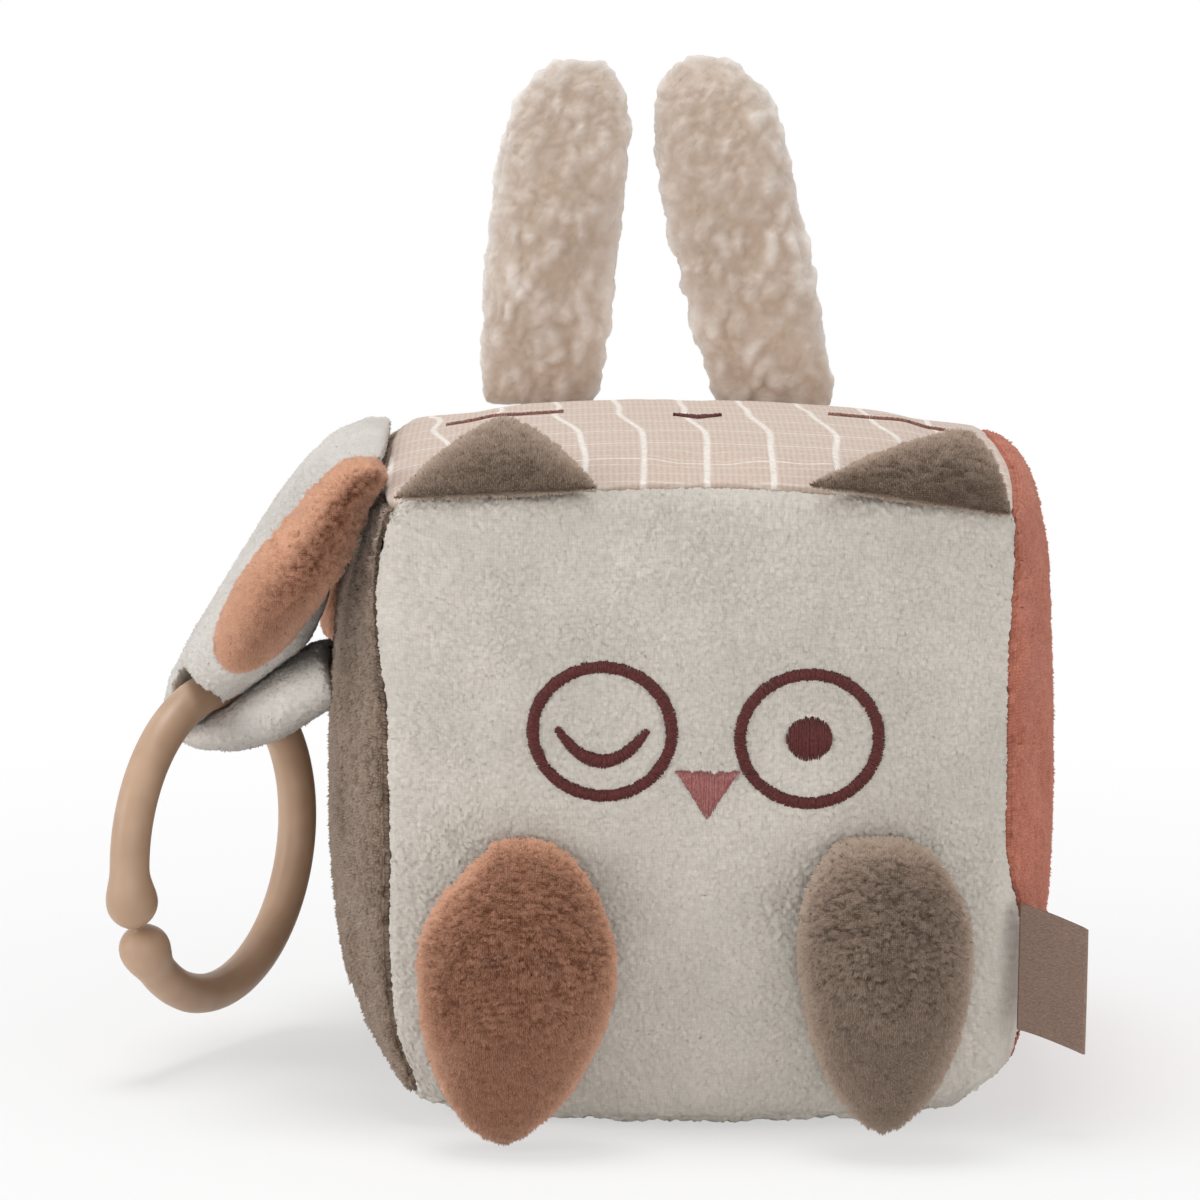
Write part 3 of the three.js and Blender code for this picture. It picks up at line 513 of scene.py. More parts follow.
def plastic_material(name, dark, light, roughness):
    """Plastic with a faint mottle and a fine grain that also varies its gloss."""
    material, tree, shader = mottled(name, (roughness, 0.0, 0.45), dark, light, 14.0, 2.0)
    grain = noise_at(tree, 0.8, 3.0)
    gloss = stretched_share(tree, grain, 0.0, 1.0, roughness - 0.06, roughness + 0.08)
    tree.links.new(gloss, shader.inputs["Roughness"])
    add_bump(tree, shader, grain, 0.06, 0.1)
    return material


def foam_material():
    """Foam: pale, open and uneven."""
    colours = srgb(200, 196, 184), srgb(222, 218, 208)
    material, tree, shader = mottled("foam", (0.95, 0.1, 0.1), *colours, 2.0, 4.0)
    add_bump(tree, shader, noise_at(tree, 2.0, 4.0), 0.6, 0.6)
    return material


COTTON = cotton_material()
THREAD_BURGUNDY = thread_material("thread_burgundy", srgb(64, 22, 20), srgb(102, 42, 38))
THREAD_ROSE = thread_material("thread_rose", srgb(122, 82, 74), srgb(160, 118, 106))
THREAD_PINK = thread_material("thread_pink", srgb(136, 80, 78), srgb(172, 112, 108))
TAPE = mottled("tape_brown", (0.75, 0.15, 0.3), srgb(122, 99, 87), srgb(152, 127, 113), 0.6, 2.0, (0.3, 0.7),
               (1, 1, 3))[0]
RING_PLASTIC = plastic_material("ring_plastic", srgb(178, 146, 120), srgb(192, 160, 134), 0.42)
RATTLE_PLASTIC = plastic_material("rattle_plastic", srgb(226, 226, 222), srgb(236, 236, 233), 0.4)
FOAM = foam_material()


def paint(piece, material):
    piece.data.materials.clear()
    piece.data.materials.append(material)


def add_piece(name, points, faces, uv, material, body, *nodes, pile=None, fill=None):
    """A piece that rides on a body and stands for CAD nodes. Its fill is not used."""
    piece = new_object(name, points, faces, uv, pile)
    paint(piece, material)
    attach(piece, body)
    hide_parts(*nodes)
    return piece


# The cube's panels. Each point has a place on a cube from -1 to 1, and a place past an edge wraps round it.

FACES = {
    "front": (lambda u, v, out: (u, -out, v), 1, -1),
    "back": (lambda u, v, out: (-u, out, v), 1, 1),
    "left": (lambda u, v, out: (-out, -u, v), 0, -1),
    "right": (lambda u, v, out: (out, u, v), 0, 1),
    "top": (lambda u, v, out: (u, v, out), 2, 1),
    "bottom": (lambda u, v, out: (u, -v, -out), 2, -1),
}
MIDDLE = np.array([0, 0, CENTRE_HEIGHT])


def cube_places(face, u, v):
    return np.stack(np.broadcast_arrays(*FACES[face][0](u, v, np.ones_like(u))), -1)


def cover_point(place):
    """The points on the sewn cover at these places, measured from its middle."""
    place = place / np.abs(place).max(-1, keepdims=True)
    main = np.abs(place).argmax(-1)
    points = np.zeros_like(place)
    for axis, crowns in enumerate(CROWNS):
        first, second = (axis + 1) % 3, (axis + 2) % 3
        u, v = place[..., first], place[..., second]
        crown = np.where(place[..., axis] > 0, crowns[1], crowns[0])
        crown = crown * np.maximum((1 - u * u) * (1 - v * v), 0) ** CROWN_POWER
        out = HALF_SIZE + SEAM_BOW * (1 - u * u * v * v) + crown
        here = main == axis
        points[..., axis] += here * np.sign(place[..., axis]) * out
        points[..., first] += here * u * (HALF_SIZE + SEAM_BOW * (1 - v * v))
        points[..., second] += here * v * (HALF_SIZE + SEAM_BOW * (1 - u * u))
    low = np.maximum(-points[..., 2] / HALF_SEAM, 0)
    points[..., :2] *= (1 - PINCH_SHARE * low ** PINCH_POWER)[..., None]
    return points


def rounded_cover(place, axis):
    total = 0
    for first, second in np.ndindex(3, 3):
        other = place.copy()
        other[..., (axis + 1) % 3] += ROUNDING * (first - 1)
        other[..., (axis + 2) % 3] += ROUNDING * (second - 1)
        total = total + cover_point(other)
    return total / 9


def bump(middle, width, along):
    return np.exp(-((along - middle) / width) ** 2)


# How far, in millimetres, the first panel reaches over the edge onto the second
OVERLAPS = {
    ("front", "left"): lambda along: (10 * ramp(along, 0.25, 0.9) - 1.2 * bump(-0.15, 0.3, along)
                                      - 2.5 * ramp(-along, 0.66, 0.96)),
    ("front", "right"): lambda along: (20 * ramp(-along, 0.1, 0.9) - 0.7 * bump(0.55, 0.3, along)
                                       + 9 * bump(-0.88, 0.2, along)),
    ("front", "top"): lambda along: 1.9 + 1.4 * bump(0.05, 0.35, along),
    ("top", "left"): lambda along: 3.0 * bump(-0.8, 0.35, along),
    ("top", "right"): lambda along: -4.5 * bump(0.3, 0.9, along),
}


def sewn_places(face, u, v):
    """Places on the cube for a panel whose seams lie where the two panels pull them."""
    axis = FACES[face][1]
    place = cube_places(face, u, v)
    for other, (_, other_axis, other_side) in FACES.items():
        if other_axis == axis:
            continue
        along_axis = 3 - axis - other_axis
        along = place[..., along_axis]
        near = np.maximum(other_side * place[..., other_axis], 0) ** 8 * (1 - along ** 16)
        shift = 0
        if (face, other) in OVERLAPS:
            shift = OVERLAPS[face, other](along) / HALF_SIZE
        elif (other, face) in OVERLAPS:
            shift = OVERLAPS[other, face](along) / HALF_SIZE
            shift = -shift / (1 + shift)
        place[..., other_axis] = place[..., other_axis] + other_side * shift * near
        place[..., along_axis] = along * (1 + np.maximum(shift, 0) * near)
    return place


COARSE = 25


def puffed_cover():
    """How far each face's coarse grid moves when the whole sewn cover is blown up over its foam."""
    u, v = square(COARSE)
    grids = [cover_point(cube_places(face, u, v)) for face in FACES]
    every = np.concatenate([grid.reshape(-1, 3) for grid in grids])
    _, first, place = np.unique(np.round(every, 3), axis=0, return_index=True, return_inverse=True)
    place = place.ravel()
    size = COARSE * COARSE
    quads = np.concatenate([place[grid_quads(COARSE, COARSE) + index * size] for index in range(len(grids))])
    edge = (np.maximum(abs(u), abs(v)) > 0.999).ravel()
    seam = np.zeros(len(first), bool)
    seam[place[np.tile(edge, len(grids))]] = True
    welded = every[first]
    moved = puffed(welded, quads, 3.0, 0.9, shrunk=seam) - welded
    return {
        face: moved[place[index * size:(index + 1) * size]].reshape(COARSE, COARSE, 3)
        for index, face in enumerate(FACES)
    }


COVER_MOVES = puffed_cover()


def filled_out(place):
    """How far the stuffing moves the cover at these places: square at its upper edges, flatter on top."""
    x, y, z = (place[..., axis] for axis in range(3))
    moves = np.zeros_like(place)
    upper = ramp(z, 0.45, 1)
    moves[..., 0] += ramp(x, 0.5, 1) * upper * (3.6 + 1.4 * y)
    moves[..., 0] -= 1.3 * ramp(x, 0.6, 1) * bump(0.1, 0.5, z)
    moves[..., 0] -= 1.2 * ramp(-x, 0.5, 1) * upper
    moves[..., 2] += 0.8 * ramp(abs(x), 0.5, 1) * upper * ramp(y, -0.9, 0)
    lower_right = 0.9 * ramp(-z, 0.4, 0.78) - 5.5 * ramp(-z, 0.86, 1)
    moves[..., 0] += ramp(x, 0.5, 1) * lower_right
    moves[..., 0] += 2.6 * ramp(-x, 0.5, 1) * ramp(-z, 0.8, 1)
    low_front = ramp(-z, 0.8, 1) * ramp(-y, 0.5, 1)
    moves[..., 2] -= (1.9 - 0.5 * x) * low_front * (1 - 0.7 * ramp(abs(x), 0.8, 1))
    moves[..., 2] -= 1.2 * ramp(z, 0.9, 1) * np.maximum((1 - x * x) * (1 - y * y), 0) ** 0.6
    return moves


def panel_grid(face, count):
    """The points of a panel, whose edge rolls in to its seam."""
    u, v = square(count)
    inward = HALF_SIZE * (1 - np.maximum(abs(u), abs(v)))
    place = sewn_places(face, u, v)
    points = rounded_cover(place, FACES[face][1])
    points += filled_out(place / np.abs(place).max(-1, keepdims=True))
    points += refined(refined(COVER_MOVES[face], count, 0), count, 1)
    radial = unit(points)
    pucker = 0.5 * cloud(points, 7.0, 71) * np.exp(-inward / 6.0) * np.clip(inward / 2, 0, 1)
    depth = SEAM_DEPTH * np.clip(1 - inward / SEAM_ROLL, 0, 1) ** 2
    depth[inward < 0.01] = SEAM_TUCK
    points += radial * (0.4 * cloud(points, 34.0, 70) + pucker - depth)[..., None]
    return points + MIDDLE


PANEL_GRIDS = {}


def plush_panel(face, count, material, lean, length=1.1, pressed=None, clump=(2.6, 2.6, 2.6), gaps=0.0,
                tone=0.0):
    PANEL_GRIDS[face] = panel_grid(face, count)
    flat = PANEL_GRIDS[face].reshape(-1, 3)
    quads = grid_quads(count, count)
    flattened = ramp(7 - flat[:, 2], 0, 5) * 0.7
    if pressed is not None:
        flattened = np.maximum(flattened, pressed(flat))
    seed = len(face) * 31
    every, triangles, pile = tufted(flat, quads, length, lean, seed, flattened, clump, gaps, tone=tone)
    every[:, 2] = np.maximum(every[:, 2], 0.05)
    uv = grid_uv(count, count)
    both = np.concatenate([uv, uv[quads].mean(1)])
    add_piece(face + "_plush", every, triangles, both[triangles], material, "block", face + "_panel",
              pile=pile, fill=0.8)


def on_face(face, across, up, lift=0.0):
    """The points above these places on a finished panel, which is seen as a height over its own flat."""
    grid = PANEL_GRIDS[face] - MIDDLE
    flat, out = ((0, 2), -grid[..., 1]) if face == "front" else ((0, 1), grid[..., 2])
    count = grid.shape[0]
    u, v = across / HALF_SEAM, up / HALF_SEAM
    for _ in range(12):
        column, row = (np.clip((share + 1) / 2 * (count - 1), 0, count - 1.001) for share in (u, v))
        c, r = column.astype(int), row.astype(int)
        x, y = column - c, row - r
        found = [(field[r, c] * (1 - x) + field[r, c + 1] * x) * (1 - y)
                 + (field[r + 1, c] * (1 - x) + field[r + 1, c + 1] * x) * y
                 for field in (grid[..., flat[0]], grid[..., flat[1]], out)]
        u, v = u + (across - found[0]) / HALF_SEAM, v + (up - found[1]) / HALF_SEAM
    axes = FACES[face][0]
    return np.stack(np.broadcast_arrays(*axes(across, up, found[2] + lift)), -1) + MIDDLE


def ring_line(across, up, count=260):
    """The middle line of an eye ring."""
    angle = full_turn(count)
    half = (EYE_WIDTH - THREAD_STROKE) / 2, (EYE_HEIGHT - THREAD_STROKE) / 2
    return np.stack([across + half[0] * np.cos(angle), up + half[1] * np.sin(angle)], -1)


def arc_line(across, up, width, drop, count):
    """A closed eye: it hangs between its two ends."""
    share = np.linspace(-1, 1, count)
    return np.stack([across + share * width / 2, up - drop * (1 - share * share)], -1)


WINK = arc_line(EYES["left"][0], EYES["left"][1] + WINK_RISE, WINK_WIDTH, WINK_DROP, 70)


def stitched_away(points):
    """1 where the owl's embroidery holds the pile down, and 0 elsewhere."""
    place = np.stack([points[:, 0], points[:, 2] - CENTRE_HEIGHT], -1)
    near = (abs(place[:, 0]) < 45) & (abs(place[:, 1] - 12) < 26)
    some = place[near]
    x, y = some.T
    dots = np.concatenate([ring_line(*EYES["left"], 90), ring_line(*EYES["right"], 90), WINK[::2]])
    lines = np.min([norm(some - dot, axis=1) for dot in dots], 0) - THREAD_STROKE / 2
    pupil = norm(some - EYES["right"], axis=1) - PUPIL_DIAMETER / 2
    side = abs(x - BEAK_ACROSS) - BEAK_WIDTH / 2 * (1 - (BEAK_TOP - y) / BEAK_HEIGHT)
    beak = np.max([side, y - BEAK_TOP, BEAK_TOP - BEAK_HEIGHT - y], 0)
    held = np.zeros(len(points))
    held[near] = 1 - ramp(np.min([lines, pupil, beak], 0), -0.3, 0.9)
    return held


plush_panel("front", 223, PLUSH_CREAM, (0.1, 0, -0.7), 0.5, stitched_away)
plush_panel("back", 150, PLUSH_CREAM, (-0.1, 0, -0.7), 1.0)
plush_panel("left", 223, PLUSH_TAUPE, (0, 0.1, -0.6), 1.1, None, (1.4, 1.4, 2.0), 0.8, -0.14)
plush_panel("right", 223, PLUSH_CORAL, (0, -0.1, -0.6), 0.8, None, (1.8, 1.8, 2.4), 0.4)
plush_panel("bottom", 90, PLUSH_CREAM, (0.2, 0.5, 0))


def cotton_panel(count=180):
    PANEL_GRIDS["top"] = panel_grid("top", count)
    quads = grid_quads(count, count)
    add_piece("top_cotton", PANEL_GRIDS["top"].reshape(-1, 3), quads, grid_uv(count, count)[quads], COTTON,
              "block", "top_panel", fill=0.8)


cotton_panel()


# Embroidery: each stitch is its own bent thread, and the threads of a patch are one piece

THREAD_SIDES, THREAD_ROWS = 6, 7


def thread_mesh(face, starts, ends, rise):
    """Points and quads of threads that run along a face from start to end, arched up in their middle."""
    sides, rows = THREAD_SIDES, THREAD_ROWS
    share = np.linspace(0, 1, rows)[None, :, None]
    line = starts[:, None] * (1 - share) + ends[:, None] * share
    along = norm(ends - starts, axis=1)
    direction = (ends - starts) / along[:, None]
    aside = np.stack([-direction[:, 1], direction[:, 0]], -1)
    arch = np.sin(math.pi * share[..., 0]) ** 0.45
    lift = (rise[:, None] + 0.5) * arch - 0.5
    radius = THREAD_WIDTH / 2 * (0.45 + 0.55 * arch)[..., None]
    angle = full_turn(sides)
    flat = line[:, :, None] + aside[:, None, None] * (radius * np.cos(angle))[..., None]
    points = on_face(face, flat[..., 0], flat[..., 1], lift[..., None] + radius * np.sin(angle))
    quads = grid_quads(rows, sides, wrap=True)
    ends = [row * sides + np.array(order) for row, order in (
        (0, (0, 1, 2, 3)), (0, (0, 3, 4, 5)), (rows - 1, (3, 2, 1, 0)), (rows - 1, (5, 4, 3, 0)))]
    offset = (np.arange(len(starts)) * rows * sides)[:, None, None]
    return points.reshape(-1, 3), (np.concatenate([quads, ends])[None] + offset).reshape(-1, 4)


def embroider(name, node, face, starts, ends, material, seed):
    """Makes a patch of stitches, each a little off its place."""
    random = np.random.default_rng(seed)
    starts = starts + random.normal(0, 0.08, starts.shape)
    ends = ends + random.normal(0, 0.08, ends.shape)
    rise = 0.55 + random.uniform(-0.08, 0.08, len(starts))
    points, quads = thread_mesh(face, starts, ends, rise)
    outward = vertex_normals(points, quads)
    threads = points.reshape(-1, THREAD_ROWS * THREAD_SIDES, 3)
    if np.sum((threads - threads.mean(1, keepdims=True)) * outward.reshape(threads.shape)) < 0:
        quads = quads[:, ::-1]
    up = points[:, 2] - CENTRE_HEIGHT + points[:, 1] * (face == "top")
    uv = np.stack([points[:, 0], up], -1) / 160 + 0.5
    add_piece(name, points, quads, uv[quads], material, "block", node)


def across_line(line, half_widths, slant, closed):
    """Starts and ends of stitches that cross a line, evenly spaced."""
    after = np.roll(line, -1, 0) if closed else np.concatenate([line[1:], 2 * line[-1:] - line[-2:-1]])
    length = np.concatenate([[0], np.cumsum(norm(after - line, axis=1))])
    whole = np.concatenate([line, after[-1:]])
    full = length[-1 if closed else -2]
    count = int(full / THREAD_PITCH)
    place = np.arange(count) * (full / count)
    middle = at_lengths(place, length, whole)
    direction = unit(at_lengths(place + 0.2, length, whole) - middle)
    aside = np.stack([-direction[:, 1], direction[:, 0]], -1) + slant * direction
    half = np.interp(place, length[:len(line)], np.broadcast_to(half_widths, len(line)))[:, None]
    return middle - aside * half, middle + aside * half


def embroider_line(name, node, face, line, half_widths, seed, closed=False, material=THREAD_BURGUNDY):
    starts, ends = across_line(line, half_widths, 0.18, closed)
    embroider(name, node, face, starts, ends, material, seed)


for side, seed in (("left", 1), ("right", 2)):
    line = ring_line(*EYES[side])
    embroider_line("eye_stitches_" + side, "owl_eye_ring_" + side, "front", line, THREAD_STROKE / 2, seed,
                   closed=True)
wink_share = np.linspace(-1, 1, len(WINK))
embroider_line("wink_stitches", "owl_wink", "front", WINK,
               (THREAD_STROKE / 2 + 0.2) * (0.28 + 0.72 * np.sqrt(1 - wink_share ** 2)), 3)


def embroider_patch(name, node, face, across, low, high, material, seed):
    """Upright stitches at these places across, between two edges."""
    starts, ends = (np.stack([across, edge + 0 * across], -1) for edge in (low, high))
    embroider(name, node, face, starts, ends, material, seed)


def stitches_across(centre, width):
    return np.arange(centre - width / 2 + THREAD_PITCH / 2, centre + width / 2, THREAD_PITCH)


def tapered(across, centre, width, height, least):
    """The height, at these places across it, of a triangle that stands on its tip."""
    return np.maximum(height * (1 - abs(across - centre) / (width / 2)), least)


pupil_across, pupil_up = EYES["right"]
across = stitches_across(pupil_across, PUPIL_DIAMETER)
reach = np.sqrt(np.maximum((PUPIL_DIAMETER / 2) ** 2 - (across - pupil_across) ** 2, 0.04))
embroider_patch("pupil_stitches", "owl_pupil", "front", across, pupil_up - reach, pupil_up + reach,
                THREAD_BURGUNDY, 4)
across = stitches_across(BEAK_ACROSS, BEAK_WIDTH)
beak_low = BEAK_TOP - tapered(across, BEAK_ACROSS, BEAK_WIDTH, BEAK_HEIGHT, 0.6)
embroider_patch("beak_stitches", "owl_beak", "front", across, beak_low, BEAK_TOP, THREAD_PINK, 5)

for side, sign, seed in (("left", -1, 6), ("right", 1, 7)):
    line = arc_line(sign * RABBIT_EYE_SPACING / 2, RABBIT_EYE_DEPTH, RABBIT_EYE_WIDTH, RABBIT_EYE_DROP, 60)
    embroider_line("rabbit_eye_stitches_" + side, "rabbit_eye_" + side, "top", line, RABBIT_STROKE / 2,
                   seed, material=THREAD_ROSE)

across = stitches_across(0, NOSE_WIDTH)
nose_low = -tapered(across, 0, NOSE_WIDTH, NOSE_HEIGHT, 0.5)
embroider_patch("rabbit_nose_stitches", "rabbit_nose", "top", across, nose_low, 0, THREAD_BURGUNDY, 8)


# Stuffed limbs: elliptical sections along a spine, from a sewn root to a round tip

def swell(along, root, peak, rise_power, fall_power, tip_power):
    """The share of the full size at this share of the length."""
    rise = np.sin(np.clip(along / max(peak, 1e-6), 0, 1) * math.pi / 2) ** rise_power
    past = np.clip((along - peak) / (1 - peak), 0, 1)
    fall = np.maximum(1 - past ** fall_power, 0) ** tip_power
    return np.where(along < peak, root + (1 - root) * rise, fall)


RINGS, SIDES = 44, 40


def limb_solid(spine, across, width, thickness, width_swell, thickness_swell):
    """Points and quads of a closed limb."""
    across = unit(across)
    fine = refined(np.array(spine, float)[:, None, :], 400, 0)[:, 0]
    run = np.concatenate([[0], np.cumsum(norm(np.diff(fine, axis=0), axis=1))])
    along = 1 - (1 - np.linspace(0, 0.9995, RINGS)) ** 1.6
    centre, ahead, behind = (at_lengths(np.clip(along + step, 0, 1) * run[-1], run, fine)
                             for step in (0, 0.01, -0.01))
    normal = unit(np.cross(ahead - behind, across))
    half_width = width / 2 * swell(along, *width_swell)
    half_thickness = thickness / 2 * swell(along, *thickness_swell)
    angle = full_turn(SIDES)
    grid = (centre[:, None] + across * (half_width[:, None] * np.cos(angle))[..., None]
            + normal[:, None] * (half_thickness[:, None] * np.sin(angle))[..., None])
    points = np.concatenate([grid.reshape(-1, 3), centre[:1], fine[-1:]])
    side = np.arange(SIDES)
    after = (side + 1) % SIDES
    tip = len(points) - 1
    last = (RINGS - 1) * SIDES
    root_cap = np.stack([after, side, np.full(SIDES, tip - 1)], -1)
    tip_cap = np.stack([last + side, last + after, np.full(SIDES, tip)], -1)
    return points, np.concatenate([halved(grid_quads(RINGS, SIDES, wrap=True)), root_cap, tip_cap])


LIMB_CELL = 1.7


def stuffed(points, faces, root, pressure, reach, levels=2, cell=LIMB_CELL):
    """An even, puffed-up and subdivided skin of the solid. Points near the root stay where they are."""
    points, quads = remeshed(points, faces, cell, 4)
    held = norm((points - root) * (0.3, 1, 1), axis=1) < 5
    points = puffed(points, quads, pressure, reach, held)
    points, quads = subdivided(points, quads, levels)
    return points + (levels - 1) * 0.5 * vertex_normals(points, quads), quads


def plush_limb(name, solid, root, body, material, nodes, lean, seed, length=1.15,
               views=((1, 0, 0), (0, 0, 1), (0, 1, 0)), reach=0.8, fill=0.7, levels=2, cell=LIMB_CELL,
               clump=(1.6, 1.1, 0.7), gaps=0.75, relief=0.32, tone=0.0, wear_and_rim_sheen=None):
    points, quads = stuffed(*solid, root, 4.0, reach, levels, cell)
    # Every limb gets a painted sheen on its rim, about the given axis, else about the third of its views.
    every, triangles, pile = tufted(points, quads, length, lean, seed, None, clump, gaps, wear_and_rim_sheen or views[2],
                                    relief, tone)
    add_piece(name, every, triangles, two_sided_map(every, triangles, *views), material, body, *nodes,
              pile=pile, fill=fill)


WING_ROOT = 4.8
WING_STATIONS = ((0.1, 0.66), (0.36, 1), (0.7, 1), (1, 0.9))


def wing_solid(across, tip_across, leans, top, tip_height, width, thickness, swelling):
    root = on_face("front", across, top - WING_ROOT / 2 - CENTRE_HEIGHT, 1.9)
    middle = thickness / 2 + 0.3
    spine = [root]
    for (drop, out), lean in zip(WING_STATIONS, leans):
        spine.append((root[0] + (tip_across - across) * lean, root[1] - middle * out,
                      root[2] - (root[2] - tip_height) * drop))
    return limb_solid(spine, (1, 0, 0), width, thickness, swelling,
                      (WING_ROOT / thickness, 0.45, 0.9, 2, 0.6)), root


solid, root = wing_solid(-38.8, -42.4, (0, 0, 0.5, 1), 68.9, 1.2, 42.6, 18, (0.34, 0.45, 0.8, 1.8, 0.62))
skin = solid[0]
shoulder = 3.5 * bump(64.5, 4.5, skin[:, 2]) - 1.6 * bump(46, 7, skin[:, 2])
skin[:, 0] += shoulder * ramp(root[0] - skin[:, 0], 3, 16)
skin[:, 0] -= 0.3 * (skin[:, 0] - root[0]) * ramp(skin[:, 2], 63, 70)
plush_limb("left_wing_plush", solid, root, "wing_left", PLUSH_TERRACOTTA,
           ("wing_left_cover", "wing_left_filling"), (0.1, 0, -0.8), 11)
solid, root = wing_solid(38.7, 40.8, (0.3, 0.85, 0.95, 1), 70.4, 4.6, 38, 17, (0.42, 0.36, 0.8, 2, 0.6))
plush_limb("right_wing_plush", solid, root, "wing_right", PLUSH_TAUPE,
           ("wing_right_cover", "wing_right_filling"), (-0.1, 0, -0.8), 12, tone=0.1)


def seam_point(across, sign):
    """A place on the upper seam of the front, or of the back."""
    out = HALF_SIZE + SEAM_BOW * (1 - (across / HALF_SIZE) ** 2)
    return np.array([across, sign * out, CENTRE_HEIGHT + out])


EAR_LEAN = math.radians(38)
EAR_HEM = 2.4  # how far the fold of the ear hangs below its seam


def owl_ear_solid(across, apex_shift, width, height, droop):
    left, right = (seam_point(across + side * width / 2, -1) for side in (-1, 1))
    root = seam_point(across, -1) + np.array([0, -0.75, 1.5])
    apex = np.array([apex_shift, height * math.sin(EAR_LEAN), height * math.cos(EAR_LEAN)])
    hem = root - apex * EAR_HEM / height
    return limb_solid([hem, root + apex * 0.45, root + apex], right - left - np.array([0, droop / 2, droop]),
                      width, 8, (1, 0, 1, 1.1, 0.74), (0.3, 0.45, 1, 2, 0.6)), root


for name, across, shift, height, droop, seed in (
        ("left", -45.2, 1.2, 18, 0, 13), ("right", 45.6, 11.5, 16.4, 3.4, 14)):
    solid, root = owl_ear_solid(across, shift, 47, height, droop)
    plush_limb(name + "_owl_ear_plush", solid, root, "owl_ear_" + name, PLUSH_TAUPE,
               ("owl_ear_" + name,), (0, 0, 0.6), seed, 1.0, reach=0.5, fill=0.4, levels=1, cell=0.9,
               clump=(2.4, 1.2, 1.0), gaps=0.4, tone=-0.08)


def sherpa_ear(name, across, tip_across, bow, width, tip_height, seed):
    root = seam_point(across, 1) + np.array([0, 1.35, 1.65])
    tip = np.array([tip_across, root[1], tip_height])
    middle = (root + tip) / 2 + np.array([bow, 0, 0])
    solid = limb_solid([root, middle, tip], (1, 0, 0), width, 17, (0.9, 0.5, 1, 4, 0.45),
                       (4.8 / 17, 0.35, 0.9, 3, 0.5))
    points, quads = stuffed(*solid, root, 4.0, 0.7)
    normals = vertex_normals(points, quads)
    bent = points + 1.6 * cloud_push(points, 6.0, seed)
    lumps = beads(bent * (1, 1, 0.7), 3.7, seed)
    small = beads(bent, 2.0, seed + 9)
    patches = ramp(cloud(points, 14.0, seed + 20), -0.5, 0.5)
    fluff = np.random.default_rng(seed).uniform(-0.1, 0.1, points.shape)
    near_root = ramp(points[:, 2], root[2], root[2] + 6)
    height = ((1.1 + 0.8 * patches) * lumps + 0.5 * small) * (0.4 + 0.6 * near_root) - 0.7
    skin = points + normals * height[:, None] + fluff
    # Painted shade and sheen: the tone is darker in the crevices between lumps, paler on their tops and
    # paler again on the ear's rim; random patches vary how strongly.
    tone = (0.3 + 0.4 * patches) * lumps ** 2 + 0.15 * small + 0.06 * cloud(points, 1.0, seed + 30)
    tone = np.clip(tone + 0.6 * painted_rim_sheen(normals, (0, 1, 0)) - 0.03, 0, 1)
    triangles = halved(quads)
    uv = two_sided_map(skin, triangles, (1, 0, 0), (0, 0, 1), (0, 1, 0))
    body = "rabbit_ear_" + name
    add_piece(name + "_rabbit_ear_sherpa", skin, triangles, uv, SHERPA, body, body + "_cover",
              body + "_filling", pile=tone, fill=0.6)


sherpa_ear("left", -36.6, -28, -1, 31.4, 227.6, 15)
sherpa_ear("right", 20.6, 2.1, -0.6, 32.6, 228.6, 16)


def side_ear_solid(depth, thickness, root_out, root_drop, out, down):
    seam = seam_point(depth, 1)
    root = np.array([-seam[1] - 1.9 - root_out, depth, seam[2] + 1.9 - root_drop])
    spine = [root, *(root - np.array([o, 0, d]) for o, d in zip(out, down))]
    return limb_solid(spine, (0, 1, 0), 26, thickness, (0.6, 0.55, 1, 2.2, 0.5),
                      (4.8 / thickness, 0.6, 0.7, 2.6, 0.5)), root


for name, solid_sizes, lean, seed in (
        ("front", (-48, 17, 0, 0, (6.5, 15, 25.2, 34.5), (3.1, 16.5, 30.7, 44.5)), (-0.5, 0, -0.5), 17),
        ("rear", (48, 10.5, 2.8, 3.4, (4.1, 8.2, 10.4, 10.1), (8.9, 20.9, 36.9, 51.4)),
         (-0.1, 0, -0.8), 18)):
    solid, root = side_ear_solid(*solid_sizes)
    plush_limb(name + "_side_ear_plush", solid, root, "side_ear_" + name, PLUSH_TERRACOTTA,
               (f"side_ear_{name}_cover", f"side_ear_{name}_filling"), lean, seed, 1.0,
               ((0, 1, 0), (0, 0, 1), (1, 0, 0)), clump=(1.3, 2.0, 1.2), gaps=0.85, relief=0.5, tone=0.04,
               wear_and_rim_sheen=(0.4, -0.9, 0))


# The flap's two padded layers, which take their eyelet and outline from their CAD solids

def node_mesh(name):
    """Points in millimetres and triangles of a CAD node."""
    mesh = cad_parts[name].data
    mesh.calc_loop_triangles()
    points = np.array([vertex.co for vertex in mesh.vertices], float) / MM
    return points, np.array([triangle.vertices for triangle in mesh.loop_triangles], int)


def flap_layer(name, node, seed, length, inner_reach):
    """A padded layer. Its inner end is drawn this much further in, to lie against the block."""
    points, quads = remeshed(*node_mesh(node), 1.3, 3)
    points = points + 0.15 * vertex_normals(points, quads)
    points[:, 0] += inner_reach * ramp(points[:, 0], -96, -84)
    moved = puffed(points, quads, 2.0, 0.3, points[:, 2] > points[:, 2].max() - 4)
    points, quads = subdivided(moved, quads, 1)
    every, triangles, pile = tufted(points, quads, length, (-0.4, 0, -0.5), seed)
    uv = two_sided_map(every, triangles, (0, 1, 0), (0, 0, 1), (1, 0, 0.6))
    add_piece(name, every, triangles, uv, PLUSH_WHITE, "side_flap", node, pile=pile, fill=0.6)


flap_layer("flap_cover_plush", "side_flap_cover", 21, 0.6, 0)
flap_layer("flap_lining_plush", "side_flap_lining", 22, 0.55, 3.2)


# The split ring

